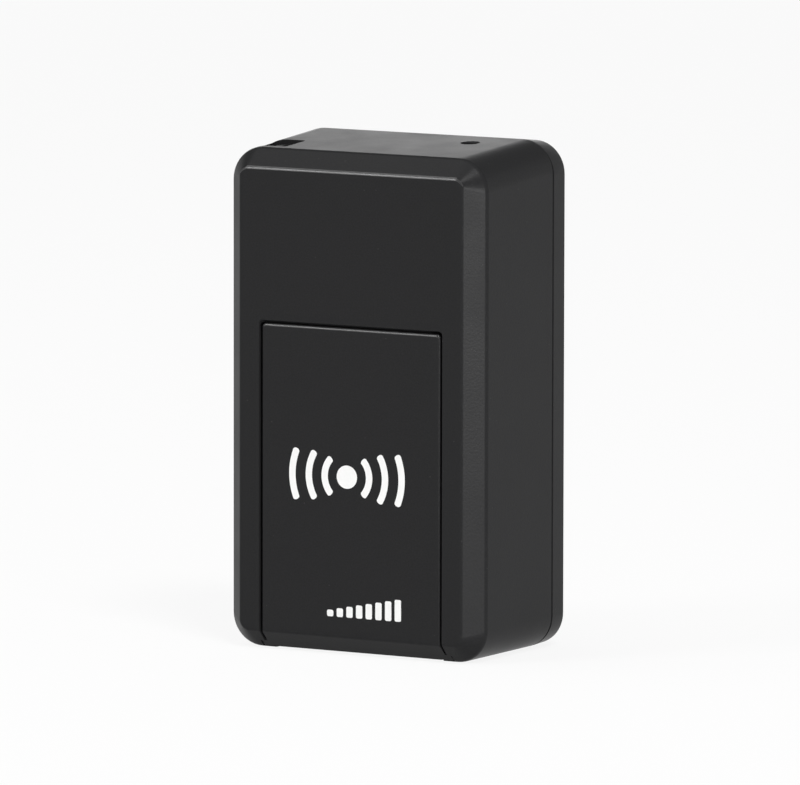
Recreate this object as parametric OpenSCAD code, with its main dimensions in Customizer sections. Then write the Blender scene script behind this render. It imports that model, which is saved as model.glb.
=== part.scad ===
// Pocket location tracker: a bevelled case with a sliding card door, a flat magnetic back,
// and the board, cards, cell, port and microphone that it holds inside.
// The front plane faces -Y, the body stands on its bottom end, and +X is to the right of the front.

/* [Body] */
// Height of the body over its back edge
body_h = 35; // [34.5:0.25:38]
// Width of the body at the seam
body_w = 20.3; // [20.2:0.1:22]
// Depth of the body, front plane to back
body_d = 12; // [11.6:0.1:14]
// Depth of the front case, front plane to seam
case_d = 10.1; // [9.8:0.05:10.3]
// Radius of the four upright corners
corner_r = 2.3; // [2:0.1:2.6]
// Radius of the front plane's corners, inside the bevel
face_r = 0.6; // [0.4:0.1:1]
// Width of the bevel round the front plane
bevel_w = 1.3; // [1.1:0.05:1.4]
// Depth of the bevel round the front plane
bevel_d = 1.25; // [1.1:0.05:1.4]
// How far each side leans out between the bevel and the seam
side_draft = 0.15; // [0:0.05:0.3]
// How far the top end climbs between the bevel and the seam
top_slope = 0.6; // [0.2:0.1:0.8]
// Thickness of the side and end walls
wall = 1; // [0.85:0.05:1.1]
// Thickness of the front wall above the door
front_wall = 1.2; // [1:0.05:1.3]
// Small relief that draws the seam line
seam_relief = 0.1; // [0.05:0.01:0.15]

/* [Rear cover] */
// Thickness of the flat back
cover_wall = 1; // [0.8:0.05:1.3]
// Radius of the cover's upright corners
cover_r = 2.3; // [2:0.1:2.6]
// How far the cover's top end lies below the case's
cover_drop = 0.2; // [0:0.05:0.3]
// Radius of the edge round the back
cover_edge_r = 0.3; // [0.2:0.05:0.8]
// Height of the lip that enters the case
lip_h = 0.8; // [0.6:0.05:1]
// Thickness of the lip
lip_t = 0.6; // [0.4:0.05:0.7]
// Clearance between the lip and the case wall
lip_gap = 0.05; // [0.03:0.01:0.1]
// Radius of the snap beads on the lip
bead_r = 0.25; // [0.2:0.01:0.3]
// Length of each snap bead
bead_l = 5; // [3:0.5:6]
// Clearance round a snap bead
bead_gap = 0.05; // [0.03:0.01:0.1]

/* [Card door] */
// Width of the door that shows
door_w = 14; // [13.8:0.1:14.4]
// Height of the door's top edge above the base
door_top = 22.5; // [22:0.1:23.5]
// Thickness of the door's plate
door_t = 0.9; // [0.8:0.05:1]
// Gap round the door that shows
door_gap = 0.2; // [0.15:0.01:0.25]
// Radius of the door's top corners
door_corner_r = 0.35; // [0.2:0.05:0.6]
// How far the rails reach under the front wall
rail_w = 0.45; // [0.35:0.05:0.5]
// Thickness of the rails
rail_t = 0.35; // [0.3:0.01:0.4]
// Height at which the rails begin, clear of the bevel
rail_low = 2; // [1.5:0.1:3]
// Running clearance of the rails in their groove
rail_gap = 0.1; // [0.05:0.01:0.12]
// How far the rails' root reaches in from the plate's edge
rail_root = 0.35; // [0.2:0.05:0.4]
// Thickness of the case frame behind the rails
frame_t = 0.4; // [0.3:0.05:0.5]
// Height of the case frame above the rails
frame_rim = 1.2; // [0.8:0.1:1.5]
// Height of the door's foot above the surface that the body stands on
foot_clear = 0.08; // [0.04:0.01:0.15]

/* [Cards and holder] */
// Width of the network card
sim_w = 12; // [11.8:0.1:12.2]
// Height of the network card
sim_h = 15; // [14.5:0.1:15.1]
// Thickness of the network card
sim_t = 0.76; // [0.67:0.01:0.84]
// Size of the network card's cut corner
sim_cut = 2.3; // [1:0.1:3]
// Width of the memory card
memory_w = 11; // [10.8:0.1:11.2]
// Height of the memory card
memory_h = 15; // [14.5:0.1:15.1]
// Thickness of the memory card
memory_t = 0.7; // [0.6:0.01:0.75]
// Depth of the memory card's side step
memory_step = 1.3; // [0.8:0.1:1.5]
// Height of the ridge that a nail pulls on
ridge_t = 0.25; // [0.1:0.01:0.3]
// Length of the pull ridge along the card
ridge_h = 0.8; // [0.4:0.1:1]
// Clearance of a card between its plates
card_gap = 0.05; // [0.03:0.01:0.08]
// Clearance at a card's edges
card_side_gap = 0.1; // [0.06:0.01:0.15]
// How far the network card stands out of the holder
sim_out = 1.2; // [0.8:0.1:2]
// How far the memory card stands out of the holder
memory_out = 1.7; // [1:0.1:2]
// Thickness of the holder's side walls
holder_wall = 0.25; // [0.2:0.01:0.3]
// Thickness of the holder's closed end
holder_end = 0.3; // [0.2:0.05:0.5]
// Thickness of the plate between the cards
holder_mid = 0.5; // [0.4:0.05:0.55]
// Thickness of the holder's floor on the board
holder_floor = 0.34; // [0.3:0.01:0.4]
// Thickness of the steel cage over the network card
cage_t = 0.15; // [0.1:0.01:0.2]
// Gap between the holder's top end and the case frame
holder_head = 0.3; // [0.2:0.05:0.5]
// Side of the window in the cage
cage_window = 6; // [4:0.5:8]
// Radius of the window's corners
window_r = 0.45; // [0.2:0.05:0.8]
// Thickness of the contact strips under the cards
contact_t = 0.15; // [0.1:0.01:0.18]
// Depth of a contact strip below its card
contact_dip = 0.02; // [0.01:0.01:0.04]
// Pitch of the network card's contacts across the card
sim_pitch = 2.54; // [2.4:0.02:2.6]
// Distance between the network card's two rows of contacts
sim_rows_apart = 7.62; // [7:0.02:7.8]
// Width of the network card's contacts
sim_contact_w = 1.4; // [1:0.1:1.8]
// Length of the network card's contacts
sim_contact_l = 2.6; // [2:0.1:3]
// Pitch of the memory card's contacts
memory_pitch = 1.1; // [1:0.02:1.2]
// Width of the memory card's contacts
memory_contact_w = 0.6; // [0.4:0.05:0.8]
// Length of the memory card's contacts
memory_contact_l = 3; // [2:0.1:3.5]

/* [Main board] */
// Thickness of the main board
board_t = 0.8; // [0.6:0.05:1]
// Gap between the board's edge and the case walls
board_gap = 0.4; // [0.3:0.05:0.6]
// Radius of the board's corners
board_r = 1.2; // [0.8:0.1:1.6]
// Height of the board screws above the base
screw_z = 3.4; // [3:0.1:5]
// Distance of the screws from the middle
screw_x = 7.6; // [7.55:0.05:7.7]
// Radius of the screw bosses
boss_r = 0.95; // [0.8:0.05:1]
// Radius of the screw thread
screw_r = 0.6; // [0.5:0.05:0.7]
// Radius of the screw head
screw_head_r = 0.95; // [0.8:0.05:1]
// Height of the screw head
screw_head_h = 0.5; // [0.4:0.05:0.7]
// Length of the screw below its head
screw_l = 2.5; // [2:0.1:2.6]
// Clearance round the screw thread and the locating pins
screw_gap = 0.05; // [0.03:0.01:0.1]
// Radius of the locating pins
pin_r = 0.45; // [0.35:0.05:0.5]
// Radius of the rests under the board's top corners
rest_r = 0.7; // [0.5:0.05:0.9]
// Height of the shield can
can_h = 1.15; // [1:0.05:1.3]
// Width of the shield can
can_w = 12.4; // [10:0.2:13]
// Length of the shield can
can_l = 14; // [10:0.5:16]
// Thickness of the shield can's sheet
can_t = 0.15; // [0.1:0.01:0.2]
// Side of the modem chip
modem_w = 7; // [5:0.5:9]
// Thickness of the chips
chip_t = 0.8; // [0.6:0.05:0.9]
// Side of the flash chip
flash_w = 4.4; // [3:0.2:5]
// Side of the power chip
power_w = 3; // [2:0.2:3.4]
// Length of the clock crystal
crystal_l = 3.2; // [2:0.1:3.6]
// Width of the clock crystal
crystal_w = 2.5; // [1.6:0.1:2.6]
// Length of the antenna block
antenna_l = 8; // [6:0.5:9]
// Width of the antenna block
antenna_w = 2.4; // [2:0.1:2.6]
// Thickness of the antenna block
antenna_t = 1.2; // [1:0.05:1.5]
// Length of a small resistor or capacitor
bit_l = 1; // [0.6:0.1:1.2]
// Width of a small resistor or capacitor
bit_w = 0.5; // [0.3:0.05:0.6]
// Thickness of a small resistor or capacitor
bit_t = 0.4; // [0.3:0.05:0.5]
// Length of a status light
led_l = 1.6; // [1:0.1:1.8]
// Width of a status light
led_w = 0.8; // [0.5:0.05:0.8]
// Thickness of a status light
led_t = 0.5; // [0.3:0.05:0.6]

/* [Battery] */
// Height of the cell
cell_h = 21; // [18:0.5:21.2]
// Gap between the cell and the cover's rim
cell_side_gap = 0.4; // [0.3:0.05:0.8]
// Gap between the cell and the magnet cups behind it
cell_gap = 0.25; // [0.2:0.01:0.4]
// Height of the cell's bottom above the base
cell_z = 2.2; // [2:0.1:2.5]
// Radius of the cell's upright edges
cell_r = 1.2; // [0.8:0.1:1.5]
// Thickness of the foam pad under the cell
pad_t = 0.3; // [0.2:0.02:0.4]
// Gap from the foam pad's edge to the can's edge
pad_margin = 0.7; // [0.4:0.1:1.5]
// Width of the cell's protection board
guard_w = 8; // [6:0.5:9]
// Depth of the protection board
guard_d = 2; // [1.6:0.1:2.4]
// Thickness of the protection board
guard_t = 0.6; // [0.4:0.05:0.7]
// Radius of the battery leads
lead_r = 0.35; // [0.25:0.01:0.4]
// Rise of a battery lead before it bends
lead_rise = 0.9; // [0.6:0.1:1.2]
// Radius of a battery lead's bend
lead_bend = 0.8; // [0.6:0.1:1]
// Distance between the two battery leads
lead_pitch = 1.6; // [1:0.1:2]

/* [Magnets] */
// Diameter of the magnets
magnet_d = 8; // [6:0.5:9]
// Thickness of the magnets
magnet_t = 1.5; // [1.2:0.05:1.6]
// Distance between the magnets' centres
magnet_pitch = 18; // [16:0.5:20]
// Clearance round a magnet
magnet_gap = 0.05; // [0.03:0.01:0.1]
// How far a magnet lies below the back face
magnet_recess = 0.05; // [0.02:0.01:0.1]
// Thickness of the cup's floor under a magnet
cup_floor = 0.4; // [0.3:0.05:0.5]
// Thickness of the cup's wall round a magnet
cup_wall = 0.6; // [0.5:0.05:0.8]
// Bevel at a magnet's edges
magnet_bevel = 0.15; // [0.05:0.01:0.2]

/* [Charging port] */
// Width of the port's shell
usb_w = 7.4; // [7.2:0.05:7.5]
// Height of the port's shell above the board
usb_h = 2.55; // [2.4:0.05:2.7]
// Depth of the port's shell
usb_l = 5.2; // [4.8:0.1:5.6]
// Thickness of the shell
usb_t = 0.25; // [0.2:0.01:0.3]
// Width of the shell's bevelled corners
usb_bevel = 0.9; // [0.6:0.05:1]
// How far the mouth lies inside the case's side
usb_recess = 0.7; // [0.5:0.05:0.9]
// Gap between the shell and the hole in the case
usb_gap = 0.25; // [0.2:0.01:0.3]
// Gap between the shell and the board's top edge
usb_inset = 0.3; // [0.25:0.05:0.5]
// Width of the tongue
tongue_w = 3.7; // [3.4:0.1:3.9]
// Thickness of the tongue
tongue_t = 0.6; // [0.5:0.05:0.7]
// How far the tongue's tip lies inside the mouth
tongue_recess = 0.5; // [0.3:0.05:0.8]
// Clearance of the insulator inside the shell
usb_fit = 0.05; // [0.03:0.01:0.08]
// Thickness of the insulator at the back of the shell
plug_back = 0.8; // [0.6:0.05:1]
// Pitch of the port's contacts
usb_pitch = 0.65; // [0.6:0.01:0.7]
// Width of a port contact
usb_contact_w = 0.35; // [0.25:0.01:0.4]
// Thickness of a port contact
usb_contact_t = 0.1; // [0.08:0.01:0.15]

/* [Microphone] */
// Distance of the sound hole to the right of the middle
mic_x = 5.15; // [4.5:0.05:5.3]
// Depth of the sound hole behind the front plane
mic_y = 7.35; // [7.2:0.05:7.5]
// Diameter of the sound hole
mic_hole_d = 1.25; // [0.8:0.05:1.4]
// Diameter of the microphone capsule
mic_d = 4; // [3.6:0.1:4.1]
// Height of the microphone capsule
mic_h = 1.5; // [1.2:0.05:1.6]
// Radius of the port in the capsule
mic_port_r = 0.3; // [0.2:0.05:0.4]
// Depth of the port in the capsule
mic_port_depth = 0.3; // [0.1:0.05:0.5]
// Wall of the rubber boot
boot_wall = 0.35; // [0.3:0.01:0.4]
// Roof of the rubber boot
boot_roof = 0.3; // [0.2:0.01:0.4]
// Clearance of the capsule in its boot
boot_gap = 0.03; // [0.02:0.01:0.05]
// Gap between the boot and what holds it
boot_seat_gap = 0.06; // [0.04:0.01:0.1]
// Thickness of the ribs beside the boot
rib_t = 0.5; // [0.4:0.05:0.6]
// Length of the ribs beside the boot
rib_l = 3.6; // [3:0.1:3.8]
// Radius of the microphone leads
mic_lead_r = 0.2; // [0.15:0.01:0.25]
// Fall of a microphone lead before it bends
mic_lead_drop = 0.4; // [0.3:0.05:0.6]
// Radius of a microphone lead's bend
mic_lead_bend = 0.5; // [0.4:0.05:0.6]
// Distance between the microphone leads
mic_lead_pitch = 1.4; // [1:0.1:2]

/* [Lanyard eye] */
// Width of the lanyard well in the top end
eye_w = 2.7; // [2.4:0.05:2.8]
// Length of the well, front to back
eye_l = 2.75; // [2.4:0.05:2.8]
// Radius of the well's corners
eye_r = 0.25; // [0.15:0.05:0.5]
// Distance of the well to the left of the middle
eye_x = 7.55; // [7.4:0.05:7.6]
// Distance of the well behind the front plane
eye_y = 3.3; // [3.25:0.05:3.5]
// Depth of the well below the top end
eye_depth = 1.9; // [1.8:0.05:2]
// Diameter of the bar across the well
eye_bar_d = 0.6; // [0.5:0.05:0.7]
// How far the bar lies below the mouth of the well
eye_bar_dip = 0.2; // [0.1:0.05:0.3]
// Plastic left round and below the well
eye_wall = 0.4; // [0.3:0.05:0.5]

/* [Hidden] */

// Overrun of every cut past the face that it opens
over = seam_relief;
// Contacts across the network card, across the memory card and in the charging port
sim_columns = 3;
memory_columns = 8;
usb_columns = 5;
// Steps in each rounded corner of the lofted shells, and in the edge round the back
corner_steps = 12;
edge_steps = 5;
$fn = 64;

// The body's outline in depth
front_half = body_w / 2 - side_draft;
front_top = body_h - top_slope;
function lean(y) = (y - bevel_d) / (case_d - bevel_d);
function half_at(y) = front_half + side_draft * lean(y);
function top_at(y) = front_top + top_slope * lean(y);

// Door, groove and frame, counted back from the front plane
groove_front = door_t - rail_gap;
groove_back = door_t + rail_t + rail_gap;
groove_half = door_w / 2 + rail_w + rail_gap;
groove_top = door_top + rail_w + rail_gap;
frame_back = groove_back + frame_t;
frame_top = groove_top + frame_rim;

// Card stack, counted back from the rails
cage_y = groove_back;
sim_y = cage_y + cage_t + card_gap;
mid_y = sim_y + sim_t + card_gap;
memory_y = mid_y + holder_mid + card_gap;
floor_y = memory_y + memory_t + card_gap;
board_y = floor_y + holder_floor;
board_back = board_y + board_t;

// The holder hangs below the frame's upper edge
bay_top = door_top - rail_root;
holder_half = sim_w / 2 + card_side_gap + holder_wall;
cage_half = holder_half + cage_t;
bay_half = cage_half + rail_gap;
holder_top = bay_top - holder_head;
sim_z = holder_top - holder_end - card_side_gap - sim_h;
holder_z = sim_z + sim_out;
memory_z = holder_z - memory_out;

// Foot of the door, which closes the card slot's mouth
foot_half = bay_half - rail_gap;
foot_back = floor_y + rail_gap;

// Board outline, between the base and the lanyard block
eye_block_z = front_top - eye_depth - eye_wall;
board_half = front_half - wall - board_gap;
board_z = wall + board_gap;
board_top = eye_block_z - board_gap;
pin_z = frame_top - boss_r - frame_t;
rest_z = board_top - rest_r;

// Cell, between the pad on the shield can and the magnet cups
rim = wall + lip_gap + lip_t;
pad_y = board_back + can_h;
cell_y = pad_y + pad_t;
magnet_y = body_d - magnet_recess - magnet_t;
cup_y = magnet_y - cup_floor;
cell_back = cup_y - cell_gap;
cell_half = body_w / 2 - rim - cell_side_gap;
cell_top = cell_z + cell_h;
guard_y = (cell_y + cell_back) / 2;
cup_r = magnet_d / 2 + magnet_gap + cup_wall;
can_z = cell_z + (cell_h - can_l) / 2;

// Charging port, on the back of the board beside the left wall
usb_x = usb_recess - half_at(board_back + usb_h / 2);
usb_top = board_top - usb_inset;
usb_mid_z = usb_top - usb_w / 2;

// Microphone, under the top wall
boot_r = mic_d / 2 + boot_gap + boot_wall;
boot_top = top_at(mic_y - boot_r) - wall - boot_seat_gap;
mic_top = boot_top - boot_roof;
mic_z = mic_top - mic_h;

// Shares of the board's half width and of its height above the frame, for what sits up there
flash_share = [-0.3, 0.33];
power_share = [0.5, 0.22];
crystal_share = [0.14, 0.22];
antenna_share = [0.22, 0.82];
// Shares of the same places for each small part
bit_shares = [[-0.78, 0.18], [-0.78, 0.34], [-0.78, 0.5], [0.3, 0.55], [0.46, 0.55], [0.62, 0.55],
    [-0.55, 0.86], [-0.38, 0.86], [0.85, 0.6], [0.85, 0.45]];
// Shares of the body's height at which the snap beads sit
bead_shares = [0.22, 0.6];
// Share of the memory card's height at which its side steps in, and share that the slant takes
memory_step_share = 0.55;
memory_slant_share = 0.05;
// Share of the shell's depth that its side tabs take
tab_share = 0.35;
// Share of a screw head that its cross recess spans, its width and its depth
cross_span_share = 1.2;
cross_width_share = 0.3;
cross_depth_share = 0.6;

case_colour = "#2a2a2c";
steel_colour = "#b9bcc0";
gold_colour = "#c9a24a";
chip_colour = "#1b1c1e";
board_colour = "#14532d";

function corner_arc(x, z, r, start) =
    [for (i = [0:corner_steps]) let (a = start + 90 * i / corner_steps) [x + r * cos(a), z + r * sin(a)]];
function outline(half, low, high, r) = concat(
    corner_arc(half - r, high - r, r, 0), corner_arc(r - half, high - r, r, 90),
    corner_arc(r - half, low + r, r, 180), corner_arc(half - r, low + r, r, 270));
function ring_of(y, half, low, high, r) = [for (p = outline(half, low, high, r)) [p.x, y, p.y]];
function ring(y, inset) = ring_of(y, half_at(y) - inset, inset, top_at(y) - inset, corner_r - inset);
function cover_ring(y, inset, r = cover_r, drop = cover_drop) =
    ring_of(y, body_w / 2 - inset, inset, body_h - drop - inset, r - inset);

// One closed solid through rings of equal length, given from front to back
module loft(rings) {
    n = len(rings[0]);
    last = len(rings) - 1;
    sides = [for (k = [0:last - 1]) for (i = [0:n - 1]) let (j = (i + 1) % n)
        each [[k * n + i, k * n + j, (k + 1) * n + j], [k * n + i, (k + 1) * n + j, (k + 1) * n + i]]];
    front = [[for (i = [n - 1:-1:0]) i]];
    back = [[for (i = [0:n - 1]) last * n + i]];
    polyhedron(points = [for (r = rings) each r], faces = concat(front, sides, back));
}

module from_front() {
    translate([0, -body_d / 2, 0]) children();
}

module block(low, high) {
    translate(low) cube(high - low);
}

// Stands a shape that is drawn in X and Z through a stretch of depth
module through(y0, y1) {
    translate([0, y1, 0]) rotate([90, 0, 0]) linear_extrude(y1 - y0) children();
}

module rod(x, z, y0, y1, r) {
    translate([x, y1, z]) rotate([90, 0, 0]) cylinder(r = r, h = y1 - y0);
}

module round_rect(half, low, high, r) {
    translate([-half, low + r]) square([2 * half, high - low - 2 * r]);
    translate([r - half, low]) square([2 * (half - r), high - low]);
    for (x = [r - half, half - r], z = [low + r, high - r]) translate([x, z]) circle(r);
}

module round_top(half, low, high, r) {
    translate([-half, low]) square([2 * half, high - low - r]);
    translate([r - half, low]) square([2 * (half - r), high - low]);
    for (x = [r - half, half - r]) translate([x, high - r]) circle(r);
}

// A lead that leaves its pad upwards or downwards, bends and runs forwards into the board
module lead(x, y, z, r, rise, bend, way) {
    turn_z = z + way * rise;
    translate([x, y, min(z, turn_z)]) cylinder(r = r, h = rise);
    translate([x, y - bend, turn_z]) mirror([0, 0, way < 0 ? 1 : 0]) rotate([90, 0, 90])
        rotate_extrude(angle = 90) translate([bend, 0]) circle(r);
    rod(x, turn_z + way * bend, board_back, y - bend, r);
}

// A part on the front of the board, at a share of the board's half width and upper height
module on_front(share, w, l, t) {
    x = share.x * board_half;
    z = frame_top + share.y * (board_top - frame_top);
    block([x - w / 2, board_y - t, z - l / 2], [x + w / 2, board_y, z + l / 2]);
}

module case_shell() {
    difference() {
        loft([ring_of(0, front_half - bevel_w, bevel_w, front_top - bevel_w, face_r),
            ring(bevel_d, 0), ring(case_d - seam_relief, 0), ring(case_d, seam_relief)]);
        loft([ring(frame_back, wall), ring(case_d + over, wall)]);
        intersection() {
            loft([ring(front_wall, wall), ring(frame_back + over, wall)]);
            block([-body_w, 0, frame_top], [body_w, body_d, body_h]);
        }
    }
}

module case_supports() {
    for (side = [-1, 1]) {
        rod(side * screw_x, screw_z, frame_back - over, board_y, boss_r);
        rod(side * screw_x, pin_z, frame_back - over, board_y, boss_r);
        rod(side * screw_x, pin_z, board_y - over, board_back, pin_r);
        rod(side * screw_x, rest_z, front_wall - over, board_y, rest_r);
    }
}

module eye_block() {
    intersection() {
        loft([ring(front_wall - over, wall / 2), ring(case_d, wall / 2)]);
        block([-body_w, front_wall - over, eye_block_z],
            [eye_w / 2 + eye_wall - eye_x, eye_y + eye_l / 2 + eye_wall, body_h]);
    }
}

module mic_ribs() {
    intersection() {
        loft([ring(front_wall, wall / 2), ring(case_d, wall / 2)]);
        for (side = [-1, 1]) {
            near = boot_r + boot_seat_gap;
            x = mic_x + side * (near + rib_t / 2);
            block([x - rib_t / 2, mic_y - rib_l / 2, mic_z], [x + rib_t / 2, mic_y + rib_l / 2, body_h]);
        }
    }
}

// The lanyard well, without the bar that stays across it
module eye_cut() {
    bar_r = eye_bar_d / 2;
    front = eye_y - eye_l / 2;
    back = eye_y + eye_l / 2;
    difference() {
        translate([-eye_x, 0, front_top - eye_depth]) linear_extrude(body_h)
            round_rect(eye_w / 2, front, back, eye_r);
        rod(-eye_x, top_at(eye_y) - eye_bar_dip - bar_r, front - over, back + over, bar_r);
    }
}

module door_cuts() {
    through(-over, groove_front + over / 2)
        round_top(door_w / 2 + door_gap, -over, door_top + door_gap, door_corner_r + door_gap);
    block([-groove_half, groove_front, -over], [groove_half, groove_back, groove_top]);
    block([-bay_half, groove_front, -over], [bay_half, frame_back + over, bay_top]);
    block([-bay_half, groove_front, -over], [bay_half, foot_back + rail_gap, wall + over]);
}

module usb_cut() {
    y0 = board_back - usb_gap;
    y1 = board_back + usb_h + usb_gap;
    half_z = usb_w / 2 + usb_gap;
    translate([-body_w / 2 - over, 0, usb_mid_z]) rotate([90, 0, 90])
        linear_extrude(wall + side_draft + 2 * over) translate([(y0 + y1) / 2, 0])
            round_rect((y1 - y0) / 2, -half_z, half_z, usb_bevel);
}

module bead_rods(r) {
    for (side = [-1, 1], share = bead_shares) {
        y = case_d - lip_h / 2;
        x = half_at(y) - wall - lip_gap - bead_r / 2;
        translate([side * x, y, share * body_h - bead_l / 2]) cylinder(r = r, h = bead_l);
    }
}

module front_case() {
    color(case_colour) from_front() difference() {
        union() {
            case_shell();
            case_supports();
            eye_block();
            mic_ribs();
        }
        door_cuts();
        eye_cut();
        usb_cut();
        bead_rods(bead_r + bead_gap);
        screw_end = board_back - screw_l - screw_gap;
        for (side = [-1, 1])
            rod(side * screw_x, screw_z, screw_end, board_y + over, screw_r + screw_gap);
        translate([mic_x, mic_y, boot_top]) cylinder(d = mic_hole_d, h = body_h);
    }
}

module rear_cover() {
    edge = [for (i = [0:edge_steps]) let (a = 90 * i / edge_steps)
        cover_ring(body_d - cover_edge_r + cover_edge_r * sin(a), cover_edge_r * (1 - cos(a)))];
    near = boot_r + cup_wall;
    color(case_colour) from_front() difference() {
        union() {
            difference() {
                union() {
                    loft(concat([cover_ring(case_d, seam_relief), cover_ring(case_d + seam_relief, 0)], edge));
                    loft([ring(case_d - lip_h, wall + lip_gap), ring(case_d + over, wall + lip_gap)]);
                    bead_rods(bead_r);
                }
                loft([for (y = [case_d - lip_h - over, body_d - cover_wall]) cover_ring(y, rim, corner_r, 0)]);
                block([mic_x - near, mic_y, mic_z - cup_wall],
                    [mic_x + near, mic_y + near, top_at(case_d) - wall]);
            }
            for (side = [-1, 1])
                rod(0, body_h / 2 + side * magnet_pitch / 2, cup_y, body_d - cover_wall + over, cup_r);
        }
        for (side = [-1, 1])
            rod(0, body_h / 2 + side * magnet_pitch / 2, magnet_y, body_d + over, magnet_d / 2 + magnet_gap);
    }
}

module sim_door() {
    slant = bevel_w / bevel_d;
    color(case_colour) from_front() difference() {
        union() {
            through(0, door_t) round_top(door_w / 2, foot_clear, door_top, door_corner_r);
            difference() {
                block([rail_gap - groove_half, door_t - over / 2, rail_low],
                    [groove_half - rail_gap, door_t + rail_t, groove_top - rail_gap]);
                block([rail_root - door_w / 2, door_t, wall],
                    [door_w / 2 - rail_root, door_t + rail_t + over, door_top - rail_root]);
            }
            block([-foot_half, door_t - over, foot_clear], [foot_half, foot_back, wall]);
        }
        translate([-body_w, 0, 0]) rotate([90, 0, 90]) linear_extrude(2 * body_w)
            polygon([[-over, bevel_w + over * slant], [-over, -over], [bevel_d + over / slant, -over]]);
    }
}

module main_board() {
    color(board_colour) from_front() through(board_y, board_back) difference() {
        round_rect(board_half, board_z, board_top, board_r);
        for (side = [-1, 1]) {
            translate([side * screw_x, screw_z]) circle(screw_r + 2 * screw_gap);
            translate([side * screw_x, pin_z]) circle(pin_r + screw_gap);
        }
    }
}

// Strips of contacts in a row, laid on a floor that faces the card
module contact_row(y, z, w, l, t, pitch, count) {
    for (i = [0:count - 1]) {
        x = (i - (count - 1) / 2) * pitch;
        block([x - w / 2, y, z], [x + w / 2, y + t, z + l]);
    }
}

module sim_strips(y, t) {
    for (side = [-1, 1])
        contact_row(y, sim_z + (sim_h + side * sim_rows_apart - sim_contact_l) / 2,
            sim_contact_w, sim_contact_l, t, sim_pitch, sim_columns);
}

module memory_strips(y, t) {
    contact_row(y, memory_z + memory_h - memory_step - memory_contact_l,
        memory_contact_w, memory_contact_l, t, memory_pitch, memory_columns);
}

module card_holder() {
    color("#26282b") from_front() difference() {
        block([-holder_half, cage_y + cage_t, holder_z], [holder_half, board_y, holder_top]);
        block([-sim_w / 2 - card_side_gap, cage_y, holder_z - over],
            [sim_w / 2 + card_side_gap, mid_y, holder_top - holder_end]);
        block([-memory_w / 2 - card_side_gap, memory_y - card_gap, holder_z - over],
            [memory_w / 2 + card_side_gap, floor_y, memory_z + memory_h + card_side_gap]);
        sim_strips(mid_y - over, over + contact_dip + contact_t);
        memory_strips(floor_y - over, over + contact_dip + contact_t);
    }
}

module sim_cage() {
    window_z = holder_z + (holder_top - holder_z) / 2;
    color(steel_colour) from_front() difference() {
        union() {
            block([-cage_half, cage_y, holder_z], [cage_half, cage_y + cage_t, holder_top]);
            for (side = [-1, 1]) {
                x = side * (cage_half - cage_t / 2);
                block([x - cage_t / 2, cage_y, holder_z], [x + cage_t / 2, board_y, holder_top]);
            }
        }
        through(cage_y - over, cage_y + cage_t + over / 2)
            round_rect(cage_window / 2, window_z - cage_window / 2, window_z + cage_window / 2, window_r);
    }
}

module sim_contacts() {
    color(gold_colour) from_front() sim_strips(mid_y + contact_dip, contact_t);
}

module memory_contacts() {
    color(gold_colour) from_front() memory_strips(floor_y + contact_dip, contact_t);
}

module sim_card() {
    top = sim_z + sim_h;
    half = sim_w / 2;
    cut_corner = [[half, top - sim_cut], [half - sim_cut, top]];
    color("#f2f2ee") from_front() through(sim_y, sim_y + sim_t)
        polygon(concat([[-half, sim_z], [half, sim_z]], cut_corner, [[-half, top]]));
}

module memory_card() {
    half = memory_w / 2;
    step_z = memory_z + memory_h * memory_step_share;
    slant_z = step_z + memory_h * memory_slant_share;
    top = memory_z + memory_h;
    color("#202124") from_front() {
        through(memory_y, memory_y + memory_t)
            polygon([[-half, memory_z], [half, memory_z], [half, step_z],
                [half - memory_step, slant_z], [half - memory_step, top], [-half, top]]);
        block([-half, memory_y - ridge_t, memory_z], [half, memory_y + memory_t / 2, memory_z + ridge_h]);
    }
}

// The shell's outline, wide on the board and bevelled away from it
module usb_outline(inset) {
    low = board_back + inset;
    high = board_back + usb_h - inset;
    half = usb_w / 2 - inset;
    polygon([[low, -half], [low, half], [high - usb_bevel, half], [high, half - usb_bevel],
        [high, usb_bevel - half], [high - usb_bevel, -half]]);
}

module usb_shell() {
    color(steel_colour) from_front() {
        translate([usb_x, 0, usb_mid_z]) rotate([90, 0, 90]) difference() {
            linear_extrude(usb_l) usb_outline(0);
            translate([0, 0, -over]) linear_extrude(usb_l + 2 * over) usb_outline(usb_t);
        }
        for (side = [-1, 1]) {
            z = usb_mid_z + side * usb_w / 2;
            block([usb_x + usb_l * (1 - tab_share), board_back, z - usb_t],
                [usb_x + usb_l, board_back + usb_t, z + usb_t]);
        }
    }
}

module usb_tongue() {
    y = board_back + usb_h / 2;
    color("#1d1d20") from_front() {
        translate([usb_x + usb_l - plug_back, 0, usb_mid_z]) rotate([90, 0, 90])
            linear_extrude(plug_back) usb_outline(usb_t + usb_fit);
        block([usb_x + tongue_recess, y - tongue_t / 2, usb_mid_z - tongue_w / 2],
            [usb_x + usb_l - plug_back + over, y + tongue_t / 2, usb_mid_z + tongue_w / 2]);
    }
}

module usb_contacts() {
    y = board_back + usb_h / 2 + tongue_t / 2;
    color(gold_colour) from_front() for (i = [0:usb_columns - 1]) {
        z = usb_mid_z + (i - (usb_columns - 1) / 2) * usb_pitch;
        block([usb_x + 2 * tongue_recess, y, z - usb_contact_w / 2],
            [usb_x + usb_l - plug_back, y + usb_contact_t, z + usb_contact_w / 2]);
    }
}

module mic_capsule() {
    port_z = mic_h - mic_port_depth;
    color(steel_colour) from_front() translate([mic_x, mic_y, mic_z]) rotate_extrude()
        polygon([[0, 0], [mic_d / 2, 0], [mic_d / 2, mic_h], [mic_port_r, mic_h],
            [mic_port_r, port_z], [0, port_z]]);
}

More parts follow.
